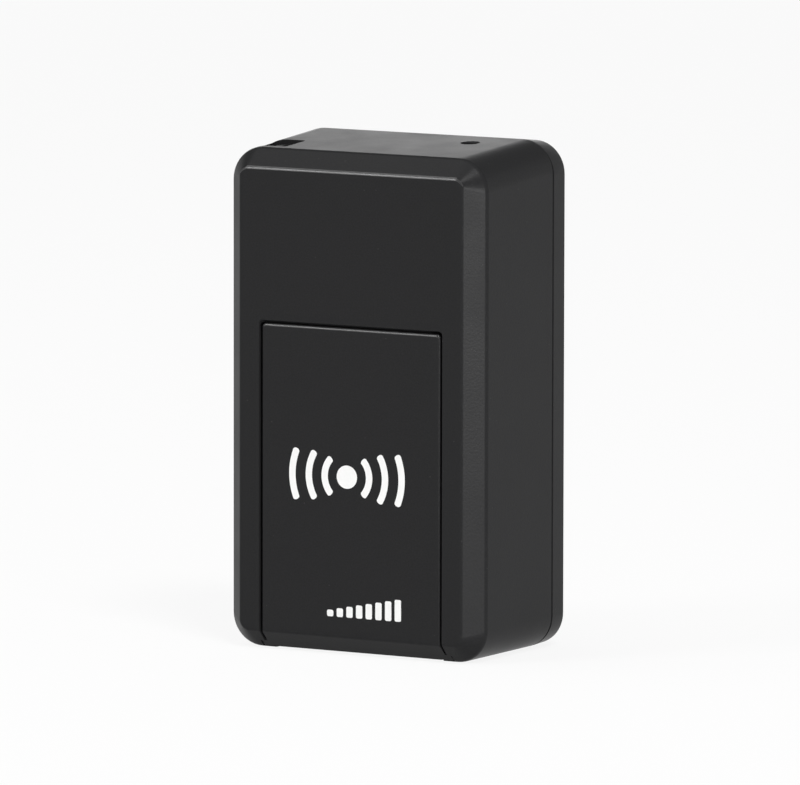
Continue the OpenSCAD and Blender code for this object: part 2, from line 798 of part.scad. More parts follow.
module mic_boot() {
    inner = mic_d / 2 + boot_gap;
    foot = mic_z - mic_top;
    color("#3a3a3d") from_front() translate([mic_x, mic_y, mic_top]) rotate_extrude()
        polygon([[inner, foot], [boot_r, foot], [boot_r, boot_roof], [mic_hole_d / 2, boot_roof],
            [mic_hole_d / 2, 0], [inner, 0]]);
}

module mic_leads() {
    color("#b03030") from_front() for (side = [-1, 1])
        lead(mic_x + side * mic_lead_pitch / 2, mic_y, mic_z, mic_lead_r, mic_lead_drop, mic_lead_bend, -1);
}

module battery_cell() {
    half_d = (cell_back - cell_y) / 2;
    color("#c8ccd2") from_front() translate([0, guard_y, cell_z]) linear_extrude(cell_h)
        round_rect(cell_half, -half_d, half_d, cell_r);
}

module battery_board() {
    color(board_colour) from_front() block([lead_pitch / 2 - guard_w / 2, guard_y - guard_d / 2, cell_top],
        [lead_pitch / 2 + guard_w / 2, guard_y + guard_d / 2, cell_top + guard_t]);
}

module battery_pad() {
    color("#e9e4d0") from_front() block([pad_margin - can_w / 2, pad_y, can_z + pad_margin],
        [can_w / 2 - pad_margin, cell_y, can_z + can_l - pad_margin]);
}

module positive_lead() {
    color("#c21f1f") from_front()
        lead(lead_pitch, guard_y, cell_top + guard_t, lead_r, lead_rise, lead_bend, 1);
}

module negative_lead() {
    color("#17171a") from_front() lead(0, guard_y, cell_top + guard_t, lead_r, lead_rise, lead_bend, 1);
}

module magnet(z) {
    r = magnet_d / 2;
    b = magnet_bevel;
    outer = [[r - b, 0], [r, b], [r, magnet_t - b], [r - b, magnet_t]];
    color("#c9cbcf") from_front() translate([0, magnet_y + magnet_t, z]) rotate([90, 0, 0])
        rotate_extrude() polygon(concat([[0, 0]], outer, [[0, magnet_t]]));
}

module upper_magnet() {
    magnet(body_h / 2 + magnet_pitch / 2);
}

module lower_magnet() {
    magnet(body_h / 2 - magnet_pitch / 2);
}

module antenna() {
    color("#d8d3c4") from_front() on_front(antenna_share, antenna_l, antenna_w, antenna_t);
}

module shield_can() {
    half = can_w / 2;
    color(steel_colour) from_front() difference() {
        block([-half, board_back, can_z], [half, board_back + can_h, can_z + can_l]);
        block([can_t - half, board_back - over, can_z + can_t],
            [half - can_t, board_back + can_h - can_t, can_z + can_l - can_t]);
    }
}

module modem_chip() {
    z = can_z + can_l / 2;
    color(chip_colour) from_front() block([-modem_w / 2, board_back, z - modem_w / 2],
        [modem_w / 2, board_back + chip_t, z + modem_w / 2]);
}

module flash_chip() {
    color(chip_colour) from_front() on_front(flash_share, flash_w, flash_w, chip_t);
}

module power_chip() {
    color(chip_colour) from_front() on_front(power_share, power_w, power_w, chip_t);
}

module crystal() {
    color(steel_colour) from_front() on_front(crystal_share, crystal_w, crystal_l, chip_t);
}

module small_parts() {
    color("#8a6d4b") from_front() for (share = bit_shares) on_front(share, bit_w, bit_l, bit_t);
}

module status_leds() {
    color("#e8f0e8") from_front() for (side = [-1, 1]) {
        x = side * (bay_half - led_w / 2 - card_gap);
        block([x - led_w / 2, board_y - led_t, holder_z - 2 * led_l],
            [x + led_w / 2, board_y, holder_z - led_l]);
    }
}

module board_screws() {
    span = screw_head_r * cross_span_share;
    slot = screw_head_r * cross_width_share;
    deep = screw_head_h * cross_depth_share;
    color(steel_colour) from_front() for (side = [-1, 1]) difference() {
        union() {
            rod(side * screw_x, screw_z, board_back, board_back + screw_head_h, screw_head_r);
            rod(side * screw_x, screw_z, board_back - screw_l, board_back + screw_head_h / 2, screw_r);
        }
        for (size = [[span, slot], [slot, span]])
            translate([side * screw_x, board_back + screw_head_h, screw_z])
                cube([size.x, 2 * deep, size.y], center = true);
    }
}

front_case();
rear_cover();
sim_door();
main_board();
card_holder();
sim_cage();
sim_contacts();
sim_card();
memory_contacts();
memory_card();
usb_shell();
usb_tongue();
usb_contacts();
mic_capsule();
mic_boot();
mic_leads();
battery_cell();
battery_board();
battery_pad();
positive_lead();
negative_lead();
upper_magnet();
lower_magnet();
antenna();
shield_can();
modem_chip();
flash_chip();
power_chip();
crystal();
small_parts();
status_leds();
board_screws();
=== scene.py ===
"""Looks of a pocket location tracker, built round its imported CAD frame.

Sizes are in millimetres, counted back from the front plane (Y), up from the surface that the
body stands on (Z) and to the right of the middle (X). Each piece is brought into the frame's
metres when it is finished. Lamps, floor and patterns are in metres.
"""

import logging
import math
from collections.abc import Callable
from dataclasses import dataclass, field
from enum import Enum

import bmesh
import bpy
from bmesh.types import BMFace, BMVert
from mathutils import Matrix, Vector

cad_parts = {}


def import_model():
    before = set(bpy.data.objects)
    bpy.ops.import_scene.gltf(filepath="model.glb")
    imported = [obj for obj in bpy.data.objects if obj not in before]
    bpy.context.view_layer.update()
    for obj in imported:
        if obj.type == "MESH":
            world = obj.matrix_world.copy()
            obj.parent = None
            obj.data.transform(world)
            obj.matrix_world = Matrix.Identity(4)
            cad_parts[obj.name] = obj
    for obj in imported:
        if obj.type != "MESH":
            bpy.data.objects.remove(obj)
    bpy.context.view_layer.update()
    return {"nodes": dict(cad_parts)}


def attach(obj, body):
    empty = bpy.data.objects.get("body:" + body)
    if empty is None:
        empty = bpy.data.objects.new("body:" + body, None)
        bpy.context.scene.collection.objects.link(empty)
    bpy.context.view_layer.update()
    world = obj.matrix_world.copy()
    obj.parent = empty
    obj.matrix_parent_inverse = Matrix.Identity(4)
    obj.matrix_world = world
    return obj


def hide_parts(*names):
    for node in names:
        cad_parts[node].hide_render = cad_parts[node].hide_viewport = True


LOG = logging.getLogger("tracker")
MM = 0.001
PICTURE_W = 800
WHOLE_DEPTH = 12.0
OVER = 0.1
NEAR = 0.01
WELD = 1e-4
PAST_SIDE = 12.0
PAST_TOP = 36.0
ROUND = 96
FLAT_ANGLE = math.radians(0.4)
EDGE_ANGLE = math.radians(20)
SHARP_ANGLE = math.radians(32)
# Faces that get the painted edge highlight: the range of the normal's Y, and the least upward Z of the
# normal.
HIGHLIGHT_TILT = (-0.99, -0.75)
HIGHLIGHT_RISE = 0.15
Point = tuple[float, float, float]
Colour = tuple[float, float, float]
PlaceTest = Callable[[Vector], bool]
FaceTest = Callable[[BMFace], bool]
Socket = bpy.types.NodeSocket


class Rider(Enum):
    """The frame's body that a piece moves with."""

    BODY = "body"
    DOOR = "door"
    NETWORK_CARD = "network_card"
    STORAGE_CARD = "storage_card"


class Slot(Enum):
    """The record's material slot that a piece takes its finish from."""

    CASE = "case_plastic"
    BOARD = "board"
    INSULATOR = "black_insulator"
    STEEL = "stamped_steel"
    GOLD = "gold_contact"
    CARD_WHITE = "card_white"
    CARD_BLACK = "card_black"
    RUBBER = "boot_rubber"
    RED = "lead_red"
    BLACK = "lead_black"
    FOIL = "cell_foil"
    FOAM = "foam"
    NICKEL = "nickel"
    CERAMIC = "ceramic_block"
    EPOXY = "chip_epoxy"
    LAMP = "lamp_resin"


class Along(Enum):
    """The axis that a turned piece stands on."""

    X = "X"
    Y = "Y"
    Z = "Z"


class Mix(Enum):
    """What a second solid does to the first."""

    CUT = "DIFFERENCE"
    JOIN = "UNION"
    KEEP = "INTERSECT"


class Facing(Enum):
    """The side of the board that a part sits on."""

    FRONT = -1
    BACK = 1


def put(name: str, data: bpy.types.ID) -> bpy.types.Object:
    """Make an object and link it to the scene.

    Args:
        name: its name.
        data: its mesh, lamp or camera.

    Returns:
        The object.
    """
    thing = bpy.data.objects.new(name, data)
    bpy.context.scene.collection.objects.link(thing)
    return thing


# ---------------------------------------------------------------- shapes


@dataclass(frozen=True)
class Outline:
    """A rounded rectangle, seen from the front."""

    left: float
    right: float
    low: float
    high: float
    radius: float

    def inset(self, by: float) -> "Outline":
        """Return the outline moved inwards by a distance."""
        radius = max(self.radius - by, 0.0)
        return Outline(self.left + by, self.right - by, self.low + by, self.high - by, radius)


@dataclass(frozen=True)
class Space:
    """The room that one CAD solid takes."""

    low: Vector
    high: Vector

    def outline(self, radius: float, inset: float = 0.0) -> Outline:
        """Return its outline seen from the front, with a corner radius and moved inwards."""
        low, high = self.low, self.high
        return Outline(low.x + inset, high.x - inset, low.z + inset, high.z - inset, radius)


def spaces(node: bpy.types.Object) -> list[Space]:
    """Find the room that each separate solid of a CAD node takes.

    Args:
        node: the CAD node, which is left as it is.

    Returns:
        One room for each solid, from left to right.
    """
    bm = bmesh.new()
    bm.from_mesh(node.data)
    bmesh.ops.remove_doubles(bm, verts=bm.verts, dist=WELD * MM)
    waiting, found = set(bm.verts), []
    shift = Vector((0, WHOLE_DEPTH / 2, 0))
    while waiting:
        reached, corners = [waiting.pop()], []
        while reached:
            vert = reached.pop()
            corners.append(vert.co / MM + shift)
            near = {e.other_vert(vert) for e in vert.link_edges} & waiting
            waiting -= near
            reached += near
        low = Vector([min(c[k] for c in corners) for k in range(3)])
        high = Vector([max(c[k] for c in corners) for k in range(3)])
        found.append(Space(low, high))
    bm.free()
    return sorted(found, key=lambda room: tuple(room.low))


class Solid:
    """A closed mesh under construction."""

    def __init__(self) -> None:
        """Start with an empty mesh."""
        self.bm = bmesh.new()

    def _fresh(self, before: set[BMFace]) -> list[BMFace]:
        """Return the faces that were not there before."""
        return [f for f in self.bm.faces if f not in before]

    def move(self, by: Point) -> "Solid":
        """Shift the whole solid, and return it."""
        bmesh.ops.translate(self.bm, vec=by, verts=self.bm.verts)
        return self

    def turn(self, angle: float, about: Along) -> "Solid":
        """Turn the whole solid about an axis through the origin.

        Args:
            angle: the turn in radians.
            about: the axis.

        Returns:
            This solid.
        """
        matrix = Matrix.Rotation(angle, 3, about.value)
        bmesh.ops.rotate(self.bm, cent=(0, 0, 0), matrix=matrix, verts=self.bm.verts)
        return self

    def loop(self, outline: Outline, y: float, steps: int) -> BMFace:
        """Draw one rounded outline that stands at a depth.

        Args:
            outline: the rounded rectangle.
            y: depth behind the front plane.
            steps: segments in each rounded corner.

        Returns:
            The flat face inside the outline.
        """
        before = set(self.bm.faces)
        verts = bmesh.ops.create_grid(self.bm, x_segments=1, y_segments=1, size=0.5)["verts"]
        size = (outline.right - outline.left, outline.high - outline.low, 1)
        bmesh.ops.scale(self.bm, vec=size, verts=verts)
        stand = Matrix.Rotation(math.pi / 2, 3, "X")
        bmesh.ops.rotate(self.bm, cent=(0, 0, 0), matrix=stand, verts=verts)
        middle = ((outline.left + outline.right) / 2, y, (outline.low + outline.high) / 2)
        bmesh.ops.translate(self.bm, vec=middle, verts=verts)
        if outline.radius > 0:
            bmesh.ops.bevel(
                self.bm, geom=verts, offset=outline.radius, offset_type="OFFSET", segments=steps,
                profile=0.5, affect="VERTICES", material=-1, clamp_overlap=False,
            )
        return self._fresh(before)[0]

    def loft(self, rings: list[tuple[float, Outline]], steps: int = 12) -> "Solid":
        """Add a closed solid through outlines at rising depths.

        Args:
            rings: pairs of depth and outline, from front to back.
            steps: segments in each rounded corner.

        Returns:
            This solid.
        """
        faces = [self.loop(outline, y, steps) for y, outline in rings]
        edges = [list(f.edges) for f in faces]
        bmesh.ops.delete(self.bm, geom=faces[1:-1], context="FACES_ONLY")
        for near, far in zip(edges, edges[1:]):
            bmesh.ops.bridge_loops(self.bm, edges=near + far)
        bmesh.ops.recalc_face_normals(self.bm, faces=self.bm.faces)
        return self

    def plate(self, outline: Outline, y0: float, y1: float, steps: int = 6) -> "Solid":
        """Add a plate with an outline between two depths, and return this solid."""
        return self.loft([(y0, outline), (y1, outline)], steps)

    def pillow(self, outline: Outline, y0: float, y1: float, edge: float, steps: int = 5) -> "Solid":
        """Add a plate whose faces meet its side in rounded edges.

        Args:
            outline: the plate's widest outline.
            y0: depth of its front.
            y1: depth of its back.
            edge: radius of the rounded edges.
            steps: segments across an edge, and in each corner.

        Returns:
            This solid.
        """
        bends = [math.pi / 2 * k / steps for k in range(steps + 1)]
        front = [(y0 + edge * (1 - math.cos(a)), outline.inset(edge * (1 - math.sin(a)))) for a in bends]
        back = [(y0 + y1 - y, ring) for y, ring in reversed(front)]
        return self.loft(front + back, steps)

    def block(self, low: Point, high: Point) -> "Solid":
        """Add a box between two corners.

        Args:
            low: its lowest corner.
            high: its highest corner.

        Returns:
            This solid.
        """
        verts = bmesh.ops.create_cube(self.bm, size=1)["verts"]
        low_v, high_v = Vector(low), Vector(high)
        bmesh.ops.scale(self.bm, vec=high_v - low_v, verts=verts)
        bmesh.ops.translate(self.bm, vec=(low_v + high_v) / 2, verts=verts)
        return self

    def rod(
        self, start: Point, along: Along, length: float, radius: float,
        far: float | None = None, sides: int = 48,
    ) -> "Solid":
        """Add a round bar or cone.

        Args:
            start: centre of the first end.
            along: axis that the bar runs on, towards rising values.
            length: length of the bar.
            radius: radius at the first end.
            far: radius at the other end, the same where it is left out.
            sides: sides of the bar.

        Returns:
            This solid.
        """
        verts = bmesh.ops.create_cone(
            self.bm, cap_ends=True, segments=sides, radius1=radius,
            radius2=radius if far is None else far, depth=length,
        )["verts"]
        turn = {
            Along.X: Matrix.Rotation(math.pi / 2, 3, "Y"),
            Along.Y: Matrix.Rotation(-math.pi / 2, 3, "X"),
            Along.Z: Matrix.Identity(3),
        }[along]
        bmesh.ops.translate(self.bm, vec=(0, 0, length / 2), verts=verts)
        bmesh.ops.rotate(self.bm, cent=(0, 0, 0), matrix=turn, verts=verts)
        bmesh.ops.translate(self.bm, vec=start, verts=verts)
        return self

    def arc(
        self, centre: Point, radius: float, line: float, ends: tuple[float, float], thick: float,
    ) -> "Solid":
        """Add a bent bar with round ends that lies parallel to the front plane.

        Args:
            centre: centre of the bend, at the bar's front.
            radius: radius of the bar's middle line.
            line: width of the bar.
            ends: angles at which it starts and ends, from the right and upwards.
            thick: its thickness.

        Returns:
            This solid.
        """
        before = set(self.bm.faces)
        reach = [self.bm.verts.new((radius + side * line / 2, 0, 0)) for side in (-1, 1)]
        start = self.bm.edges.new(reach)
        first = Matrix.Rotation(-ends[0], 3, "Y")
        bmesh.ops.rotate(self.bm, cent=(0, 0, 0), matrix=first, verts=reach)
        last = bmesh.ops.spin(
            self.bm, geom=[*reach, start], cent=(0, 0, 0), axis=(0, -1, 0),
            angle=ends[1] - ends[0], steps=20,
        )["geom_last"]
        corners = reach + [v for v in last if isinstance(v, BMVert)]
        bmesh.ops.dissolve_faces(self.bm, faces=self._fresh(before), use_verts=False)
        bmesh.ops.bevel(
            self.bm, geom=corners, offset=line * 0.47, offset_type="OFFSET", segments=6,
            profile=0.5, affect="VERTICES", material=-1, clamp_overlap=False,
        )
        flat = self._fresh(before)
        bmesh.ops.translate(self.bm, vec=centre, verts=list({v for f in flat for v in f.verts}))
        grown = bmesh.ops.extrude_face_region(self.bm, geom=flat, use_keep_orig=True)["geom"]
        bmesh.ops.translate(self.bm, vec=(0, thick, 0), verts=[v for v in grown if isinstance(v, BMVert)])
        bmesh.ops.recalc_face_normals(self.bm, faces=self._fresh(before))
        return self

    def mix(self, other: "Solid", how: Mix) -> "Solid":
        """Cut, join or keep with a second solid, which is used up.

        Args:
            other: the second solid.
            how: what it does.

        Returns:
            This solid.
        """
        pair = []
        for solid in (self, other):
            mesh = bpy.data.meshes.new("work")
            solid.bm.to_mesh(mesh)
            solid.bm.free()
            pair.append(put("work", mesh))
        base, tool = pair
        step = base.modifiers.new("mix", "BOOLEAN")
        step.operation, step.solver, step.object, step.use_self = how.value, "EXACT", tool, True
        graph = bpy.context.evaluated_depsgraph_get()
        result = bpy.data.meshes.new_from_object(base.evaluated_get(graph))
        self.bm = bmesh.new()
        self.bm.from_mesh(result)
        for thing in pair:
            mesh = thing.data
            bpy.data.objects.remove(thing)
            bpy.data.meshes.remove(mesh)
        bpy.data.meshes.remove(result)
        bmesh.ops.remove_doubles(self.bm, verts=self.bm.verts, dist=WELD)
        return self

    def flatten_seams(self) -> "Solid":
        """Dissolve edges between faces that lie in one plane, and return this solid."""
        bmesh.ops.dissolve_limit(
            self.bm, angle_limit=FLAT_ANGLE, use_dissolve_boundaries=False,
            verts=self.bm.verts, edges=self.bm.edges,
        )
        return self

    def soften(self, width: float, test: PlaceTest = lambda co: True, segments: int = 3) -> "Solid":
        """Round the sharp edges that lie where a test holds.

        Args:
            width: how far the rounding reaches on each side.
            test: takes a corner's place and says whether it counts.
            segments: steps across the rounding.

        Returns:
            This solid.
        """
        sharp = [
            e for e in self.bm.edges
            if len(e.link_faces) == 2 and e.calc_face_angle(0.0) > EDGE_ANGLE
            and all(test(v.co) for v in e.verts)
        ]
        if sharp:
            bmesh.ops.bevel(
                self.bm, geom=sharp, offset=width, offset_type="OFFSET", segments=segments,
                profile=0.5, affect="EDGES", material=-1, clamp_overlap=True,
            )
        return self

    def paint(self, test: FaceTest) -> "Solid":
        """Give the second finish to the faces that pass a test.

        Args:
            test: takes a face and says whether it counts.

        Returns:
            This solid.
        """
        self.bm.normal_update()
        for face in filter(test, self.bm.faces):
            face.material_index = 1
        return self

    def finish(
        self, name: str, looks: list[bpy.types.Material], rider: Rider, slot: Slot, replaces: tuple[str, ...],
    ) -> None:
        """Turn the solid into a dressed piece that rides on its body.

        Args:
            name: the piece's name.
            looks: its finish, and a second one where some faces are painted.
            rider: the body that it moves with.
            slot: the record's material slot; not used.
            replaces: CAD nodes that it stands for.
        """
        self.move((0, -WHOLE_DEPTH / 2, 0))
        bmesh.ops.scale(self.bm, vec=(MM, MM, MM), verts=self.bm.verts)
        mesh = bpy.data.meshes.new(name)
        self.bm.to_mesh(mesh)
        self.bm.free()
        piece = put(name, mesh)
        for look in looks:
            mesh.materials.append(look)
        mesh.shade_smooth()
        mesh.set_sharp_from_angle(angle=SHARP_ANGLE)
        even = piece.modifiers.new("even faces", "WEIGHTED_NORMAL")
        even.keep_sharp, even.weight = True, 100
        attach(piece, rider.value)
        if replaces:
            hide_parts(*replaces)
        LOG.info("%s: %d faces", name, len(mesh.polygons))


@dataclass(frozen=True)
class BodyForm:
    """The outer form that the case, the cover and the door share."""

    face_half: float = 8.7
    face_low: float = 1.3
    face_high: float = 33.1
    face_radius: float = 0.6
    bevel_w: float = 1.3
    bevel_d: float = 1.25
    case_d: float = 10.1
    draft: float = 0.15
    climb: float = 0.6
    corner: float = 2.3
    half: float = 10.15
    height: float = 35.0
    lid_corner: float = 2.3
    lid_drop: float = 0.15
    seam_half: float = 0.1
    seam_deep: float = 0.35
    snap_back: float = 0.4
    snap_in: float = 1.175
    snap_length: float = 5.0
    snap_shares: tuple[float, float] = (0.22, 0.6)

    @property
    def slope(self) -> float:
        """The bevel's lean against the front plane, in radians."""
        return math.atan2(self.bevel_d, self.bevel_w)

    def skin(self, out: float, y: float) -> Outline:
        """Give the case's outline at a depth.

        Args:
            out: distance outwards from the front plane's edge.
            y: depth behind the front plane.

        Returns:
            The outline, whose corners open up across the bevel.
        """
        lean = max(0.0, (y - self.bevel_d) / (self.case_d - self.bevel_d))
        half = self.face_half + out + self.draft * lean
        top = self.face_high + out + self.climb * lean
        radius = self.face_radius + out * (self.corner - self.face_radius) / self.bevel_w
        return Outline(-half, half, self.face_low - out, top, radius)

    def wall(self, thick: float, y: float) -> Outline:
        """Return the outline at a depth inside the case's side."""
        return self.skin(self.bevel_w, y).inset(thick)

    def lid(self, inset: float, drop: float) -> Outline:
        """Return the cover's outline moved inwards, with its top end lowered."""
        return Outline(-self.half, self.half, 0.0, self.height - drop, self.lid_corner).inset(inset)


# ---------------------------------------------------------------- finishes


class Nodes:
    """A small helper that places and joins shader nodes."""

    def __init__(self, tree: bpy.types.NodeTree) -> None:
        """Work on a node tree."""
        self.tree = tree

    def add(self, kind: str, **settings: object) -> bpy.types.Node:
        """Add a node of a kind and set its properties.

        Args:
            kind: the node's type name.
            **settings: its properties.

        Returns:
            The node.
        """
        node = self.tree.nodes.new(kind)
        for key, value in settings.items():
            setattr(node, key, value)
        return node

    def join(self, out: Socket, into: Socket) -> None:
        """Link two sockets."""
        self.tree.links.new(out, into)

    def maths(self, how: str, a: Socket | float, b: Socket | float) -> Socket:
        """Add a Math node.

        Args:
            how: its operation.
            a: a socket or a number.
            b: a socket or a number.

        Returns:
            Its output.
        """
        node = self.add("ShaderNodeMath", operation=how)
        for k, value in enumerate((a, b)):
            if isinstance(value, (int, float)):
                node.inputs[k].default_value = value
            else:
                self.join(value, node.inputs[k])
        return node.outputs[0]

    def ramp(self, value: Socket, stops: tuple[tuple[float, float], ...]) -> Socket:
        """Add a colour ramp of greys.

        Args:
            value: what it reads.
            stops: places and levels.

        Returns:
            Its colour.
        """
        node = self.add("ShaderNodeValToRGB")
        points = node.color_ramp.elements
        while len(points) < len(stops):
            points.new(0.5)
        for point, (place, level) in zip(points, stops):
            point.position, point.color = place, (level, level, level, 1)
        self.join(value, node.inputs[0])
        return node.outputs[0]

    def noise(self, where: Socket, scale: float, detail: float, rough: float) -> Socket:
        """Add a noise pattern.

        Args:
            where: the place that it reads.
            scale: patches per metre.
            detail: number of finer layers.
            rough: how much the finer layers count.

        Returns:
            Its value.
        """
        node = self.add("ShaderNodeTexNoise")
        for label, value in (("Scale", scale), ("Detail", detail), ("Roughness", rough)):
            node.inputs[label].default_value = value
        self.join(where, node.inputs["Vector"])
        return node.outputs["Fac"]

    def blend(self, share: Socket, first: Socket | Colour, second: Colour) -> Socket:
        """Mix a colour into another.

        Args:
            share: how much of the second shows.
            first: a socket or a colour.
            second: the second colour.

        Returns:
            The mixed colour.
        """
        node = self.add("ShaderNodeMix", data_type="RGBA")
        self.join(share, node.inputs["Factor"])
        if isinstance(first, tuple):
            node.inputs["A"].default_value = (*first, 1)
        else:
            self.join(first, node.inputs["A"])
        node.inputs["B"].default_value = (*second, 1)
        return node.outputs["Result"]

    def bump(self, height: Socket, strength: float, reach: float) -> Socket:
        """Add a Bump node.

        Args:
            height: the height pattern.
            strength: how much of it counts.
            reach: its depth in metres.

        Returns:
            The bent normal.
        """
        node = self.add("ShaderNodeBump")
        node.inputs["Strength"].default_value = strength
        node.inputs["Distance"].default_value = reach
        self.join(height, node.inputs["Height"])
        return node.outputs["Normal"]

    def group(self, tree: bpy.types.NodeTree, where: Socket) -> bpy.types.Node:
        """Place a shared effect and give it the place that it reads.

        Args:
            tree: the node group.
            where: the place.

        Returns:
            The group's node.
        """
        node = self.add("ShaderNodeGroup", node_tree=tree)
        self.join(where, node.inputs["Vector"])
        return node


def start_material(name: str) -> tuple[bpy.types.Material, Nodes, bpy.types.Node]:
    """Start a material with the usual shader.

    Args:
        name: its name.

    Returns:
        The material, the helper that adds nodes to it, and its shader.
    """
    material = bpy.data.materials.new(name)
    material.use_nodes = True
    return material, Nodes(material.node_tree), material.node_tree.nodes["Principled BSDF"]


@dataclass
class Effects:
    """The node groups that several finishes share, each built once."""

    GRAIN_SIZE, GRAIN_DETAIL, GRAIN_DEPTH = 9000.0, 2.0, 0.6
    PIT_SIZE, PIT_SMOOTH, PIT_DEPTH = 0.7, 0.6, 0.5
    SMEAR_FIELD, SMEAR_RAMP = (180.0, 4.0, 0.6), ((0.38, 0.0), (0.66, 1.0))
    DUST_SIZE, DUST_RADIUS = 1500.0, 0.07
    DUST_FIELD, DUST_OVER = (700.0, 1.0, 0.5), 0.6
    LINE_SIZE, LINE_DETAIL, LINE_STRETCH = 3000.0, 3.0, (1.0, 1.0, 0.05)
    STAIN_FIELD, STAIN_RAMP = (420.0, 5.0, 0.65), ((0.4, 0.0), (0.7, 1.0))
    grain: bpy.types.NodeTree = field(init=False)
    handling: bpy.types.NodeTree = field(init=False)
    rolling: bpy.types.NodeTree = field(init=False)

    def __post_init__(self) -> None:
        """Build the groups."""
        self.grain, self.handling, self.rolling = self._grain(), self._handling(), self._rolling()

    @staticmethod
    def _start(
        name: str, size: float, outputs: tuple[str, str],
    ) -> tuple[Nodes, bpy.types.Node, bpy.types.Node]:
        """Start a group that reads a place and a size and puts out two values.

        Args:
            name: the group's name.
            size: the size's default.
            outputs: names of the two values.

        Returns:
            The helper, the input node and the output node.
        """
        group = bpy.data.node_groups.new(name, "ShaderNodeTree")
        group.interface.new_socket("Vector", in_out="INPUT", socket_type="NodeSocketVector")
        scale = group.interface.new_socket("Size", in_out="INPUT", socket_type="NodeSocketFloat")
        scale.default_value = size
        for label in outputs:
            group.interface.new_socket(label, in_out="OUTPUT", socket_type="NodeSocketFloat")
        n = Nodes(group)
        return n, n.add("NodeGroupInput"), n.add("NodeGroupOutput")

    def _grain(self) -> bpy.types.NodeTree:
        """Build the fine pitting of moulded plastic.

        Returns:
            A group that puts out a height and a tone, both from 0 to 1.
        """
        n, source, sink = self._start("moulded grain", self.GRAIN_SIZE, ("Height", "Tone"))
        fine = n.add("ShaderNodeTexNoise")
        fine.inputs["Detail"].default_value = self.GRAIN_DETAIL
        n.join(source.outputs["Vector"], fine.inputs["Vector"])
        n.join(source.outputs["Size"], fine.inputs["Scale"])
        pits = n.add("ShaderNodeTexVoronoi", feature="SMOOTH_F1")
        pits.inputs["Smoothness"].default_value = self.PIT_SMOOTH
        n.join(source.outputs["Vector"], pits.inputs["Vector"])
        n.join(n.maths("MULTIPLY", source.outputs["Size"], self.PIT_SIZE), pits.inputs["Scale"])
        deep = n.maths("MULTIPLY", pits.outputs["Distance"], self.PIT_DEPTH)
        high = n.maths("MULTIPLY", fine.outputs["Fac"], self.GRAIN_DEPTH)
        n.join(n.maths("ADD", high, deep), sink.inputs["Height"])
        n.join(fine.outputs["Fac"], sink.inputs["Tone"])
        return n.tree

    def _handling(self) -> bpy.types.NodeTree:
        """Build the faint smears and dust that handling leaves.

        Returns:
            A group that puts out a smear mask and a dust mask, both from 0 to 1.
        """
        n, source, sink = self._start("handling marks", self.DUST_SIZE, ("Smear", "Dust"))
        broad = n.noise(source.outputs["Vector"], *self.SMEAR_FIELD)
        n.join(n.ramp(broad, self.SMEAR_RAMP), sink.inputs["Smear"])
        specks = n.add("ShaderNodeTexVoronoi")
        n.join(source.outputs["Size"], specks.inputs["Scale"])
        n.join(source.outputs["Vector"], specks.inputs["Vector"])
        near = n.maths("LESS_THAN", specks.outputs["Distance"], self.DUST_RADIUS)
        patches = n.noise(source.outputs["Vector"], *self.DUST_FIELD)
        some = n.maths("GREATER_THAN", patches, self.DUST_OVER)
        n.join(n.maths("MULTIPLY", near, some), sink.inputs["Dust"])
        return n.tree

    def _rolling(self) -> bpy.types.NodeTree:
        """Build the drawn lines of rolled or plated sheet.

        Returns:
            A group that puts out a line pattern and a stain mask, both from 0 to 1.
        """
        n, source, sink = self._start("rolled lines", self.LINE_SIZE, ("Lines", "Stain"))
        along = n.add("ShaderNodeVectorMath", operation="MULTIPLY")
        along.inputs[1].default_value = self.LINE_STRETCH
        n.join(source.outputs["Vector"], along.inputs[0])
        lines = n.add("ShaderNodeTexNoise")
        lines.inputs["Detail"].default_value = self.LINE_DETAIL
        n.join(along.outputs[0], lines.inputs["Vector"])
        n.join(source.outputs["Size"], lines.inputs["Scale"])
        n.join(lines.outputs["Fac"], sink.inputs["Lines"])
        stain = n.noise(source.outputs["Vector"], *self.STAIN_FIELD)
        n.join(n.ramp(stain, self.STAIN_RAMP), sink.inputs["Stain"])
        return n.tree


@dataclass(frozen=True)
class MouldedFinish:
    """Moulded plastic, rubber or resin with fine grain and faint handling marks."""

    DUST_COLOUR = (0.35, 0.34, 0.32)
    GRAIN_REACH = 0.00002

    name: str
    colour: Colour
    lighter: Colour
    roughness: float
    spread: float = 0.08
    grain_size: float = 9000.0
    grain_depth: float = 0.25
    specular: float = 0.5
    dust: float = 0.0
    coat: float = 0.0

    def build(self, effects: Effects) -> bpy.types.Material:
        """Build the material.

        Args:
            effects: the shared node groups.

        Returns:
            The material.
        """
        material, n, shader = start_material(self.name)
        place = n.add("ShaderNodeTexCoord").outputs["Object"]
        grain = n.group(effects.grain, place)
        grain.inputs["Size"].default_value = self.grain_size
        marks = n.group(effects.handling, place)
        tone = n.blend(grain.outputs["Tone"], self.colour, self.lighter)
        dusty = n.blend(n.maths("MULTIPLY", marks.outputs["Dust"], self.dust), tone, self.DUST_COLOUR)
        n.join(dusty, shader.inputs["Base Color"])
        fine = n.maths("MULTIPLY", grain.outputs["Tone"], self.spread)
        broad = n.maths("MULTIPLY", marks.outputs["Smear"], self.spread)
        rough = n.maths("ADD", n.maths("ADD", fine, broad), self.roughness - self.spread)
        n.join(rough, shader.inputs["Roughness"])
        n.join(n.bump(grain.outputs["Height"], self.grain_depth, self.GRAIN_REACH), shader.inputs["Normal"])
        shader.inputs["Specular IOR Level"].default_value = self.specular
        shader.inputs["Coat Weight"].default_value = self.coat
        return material


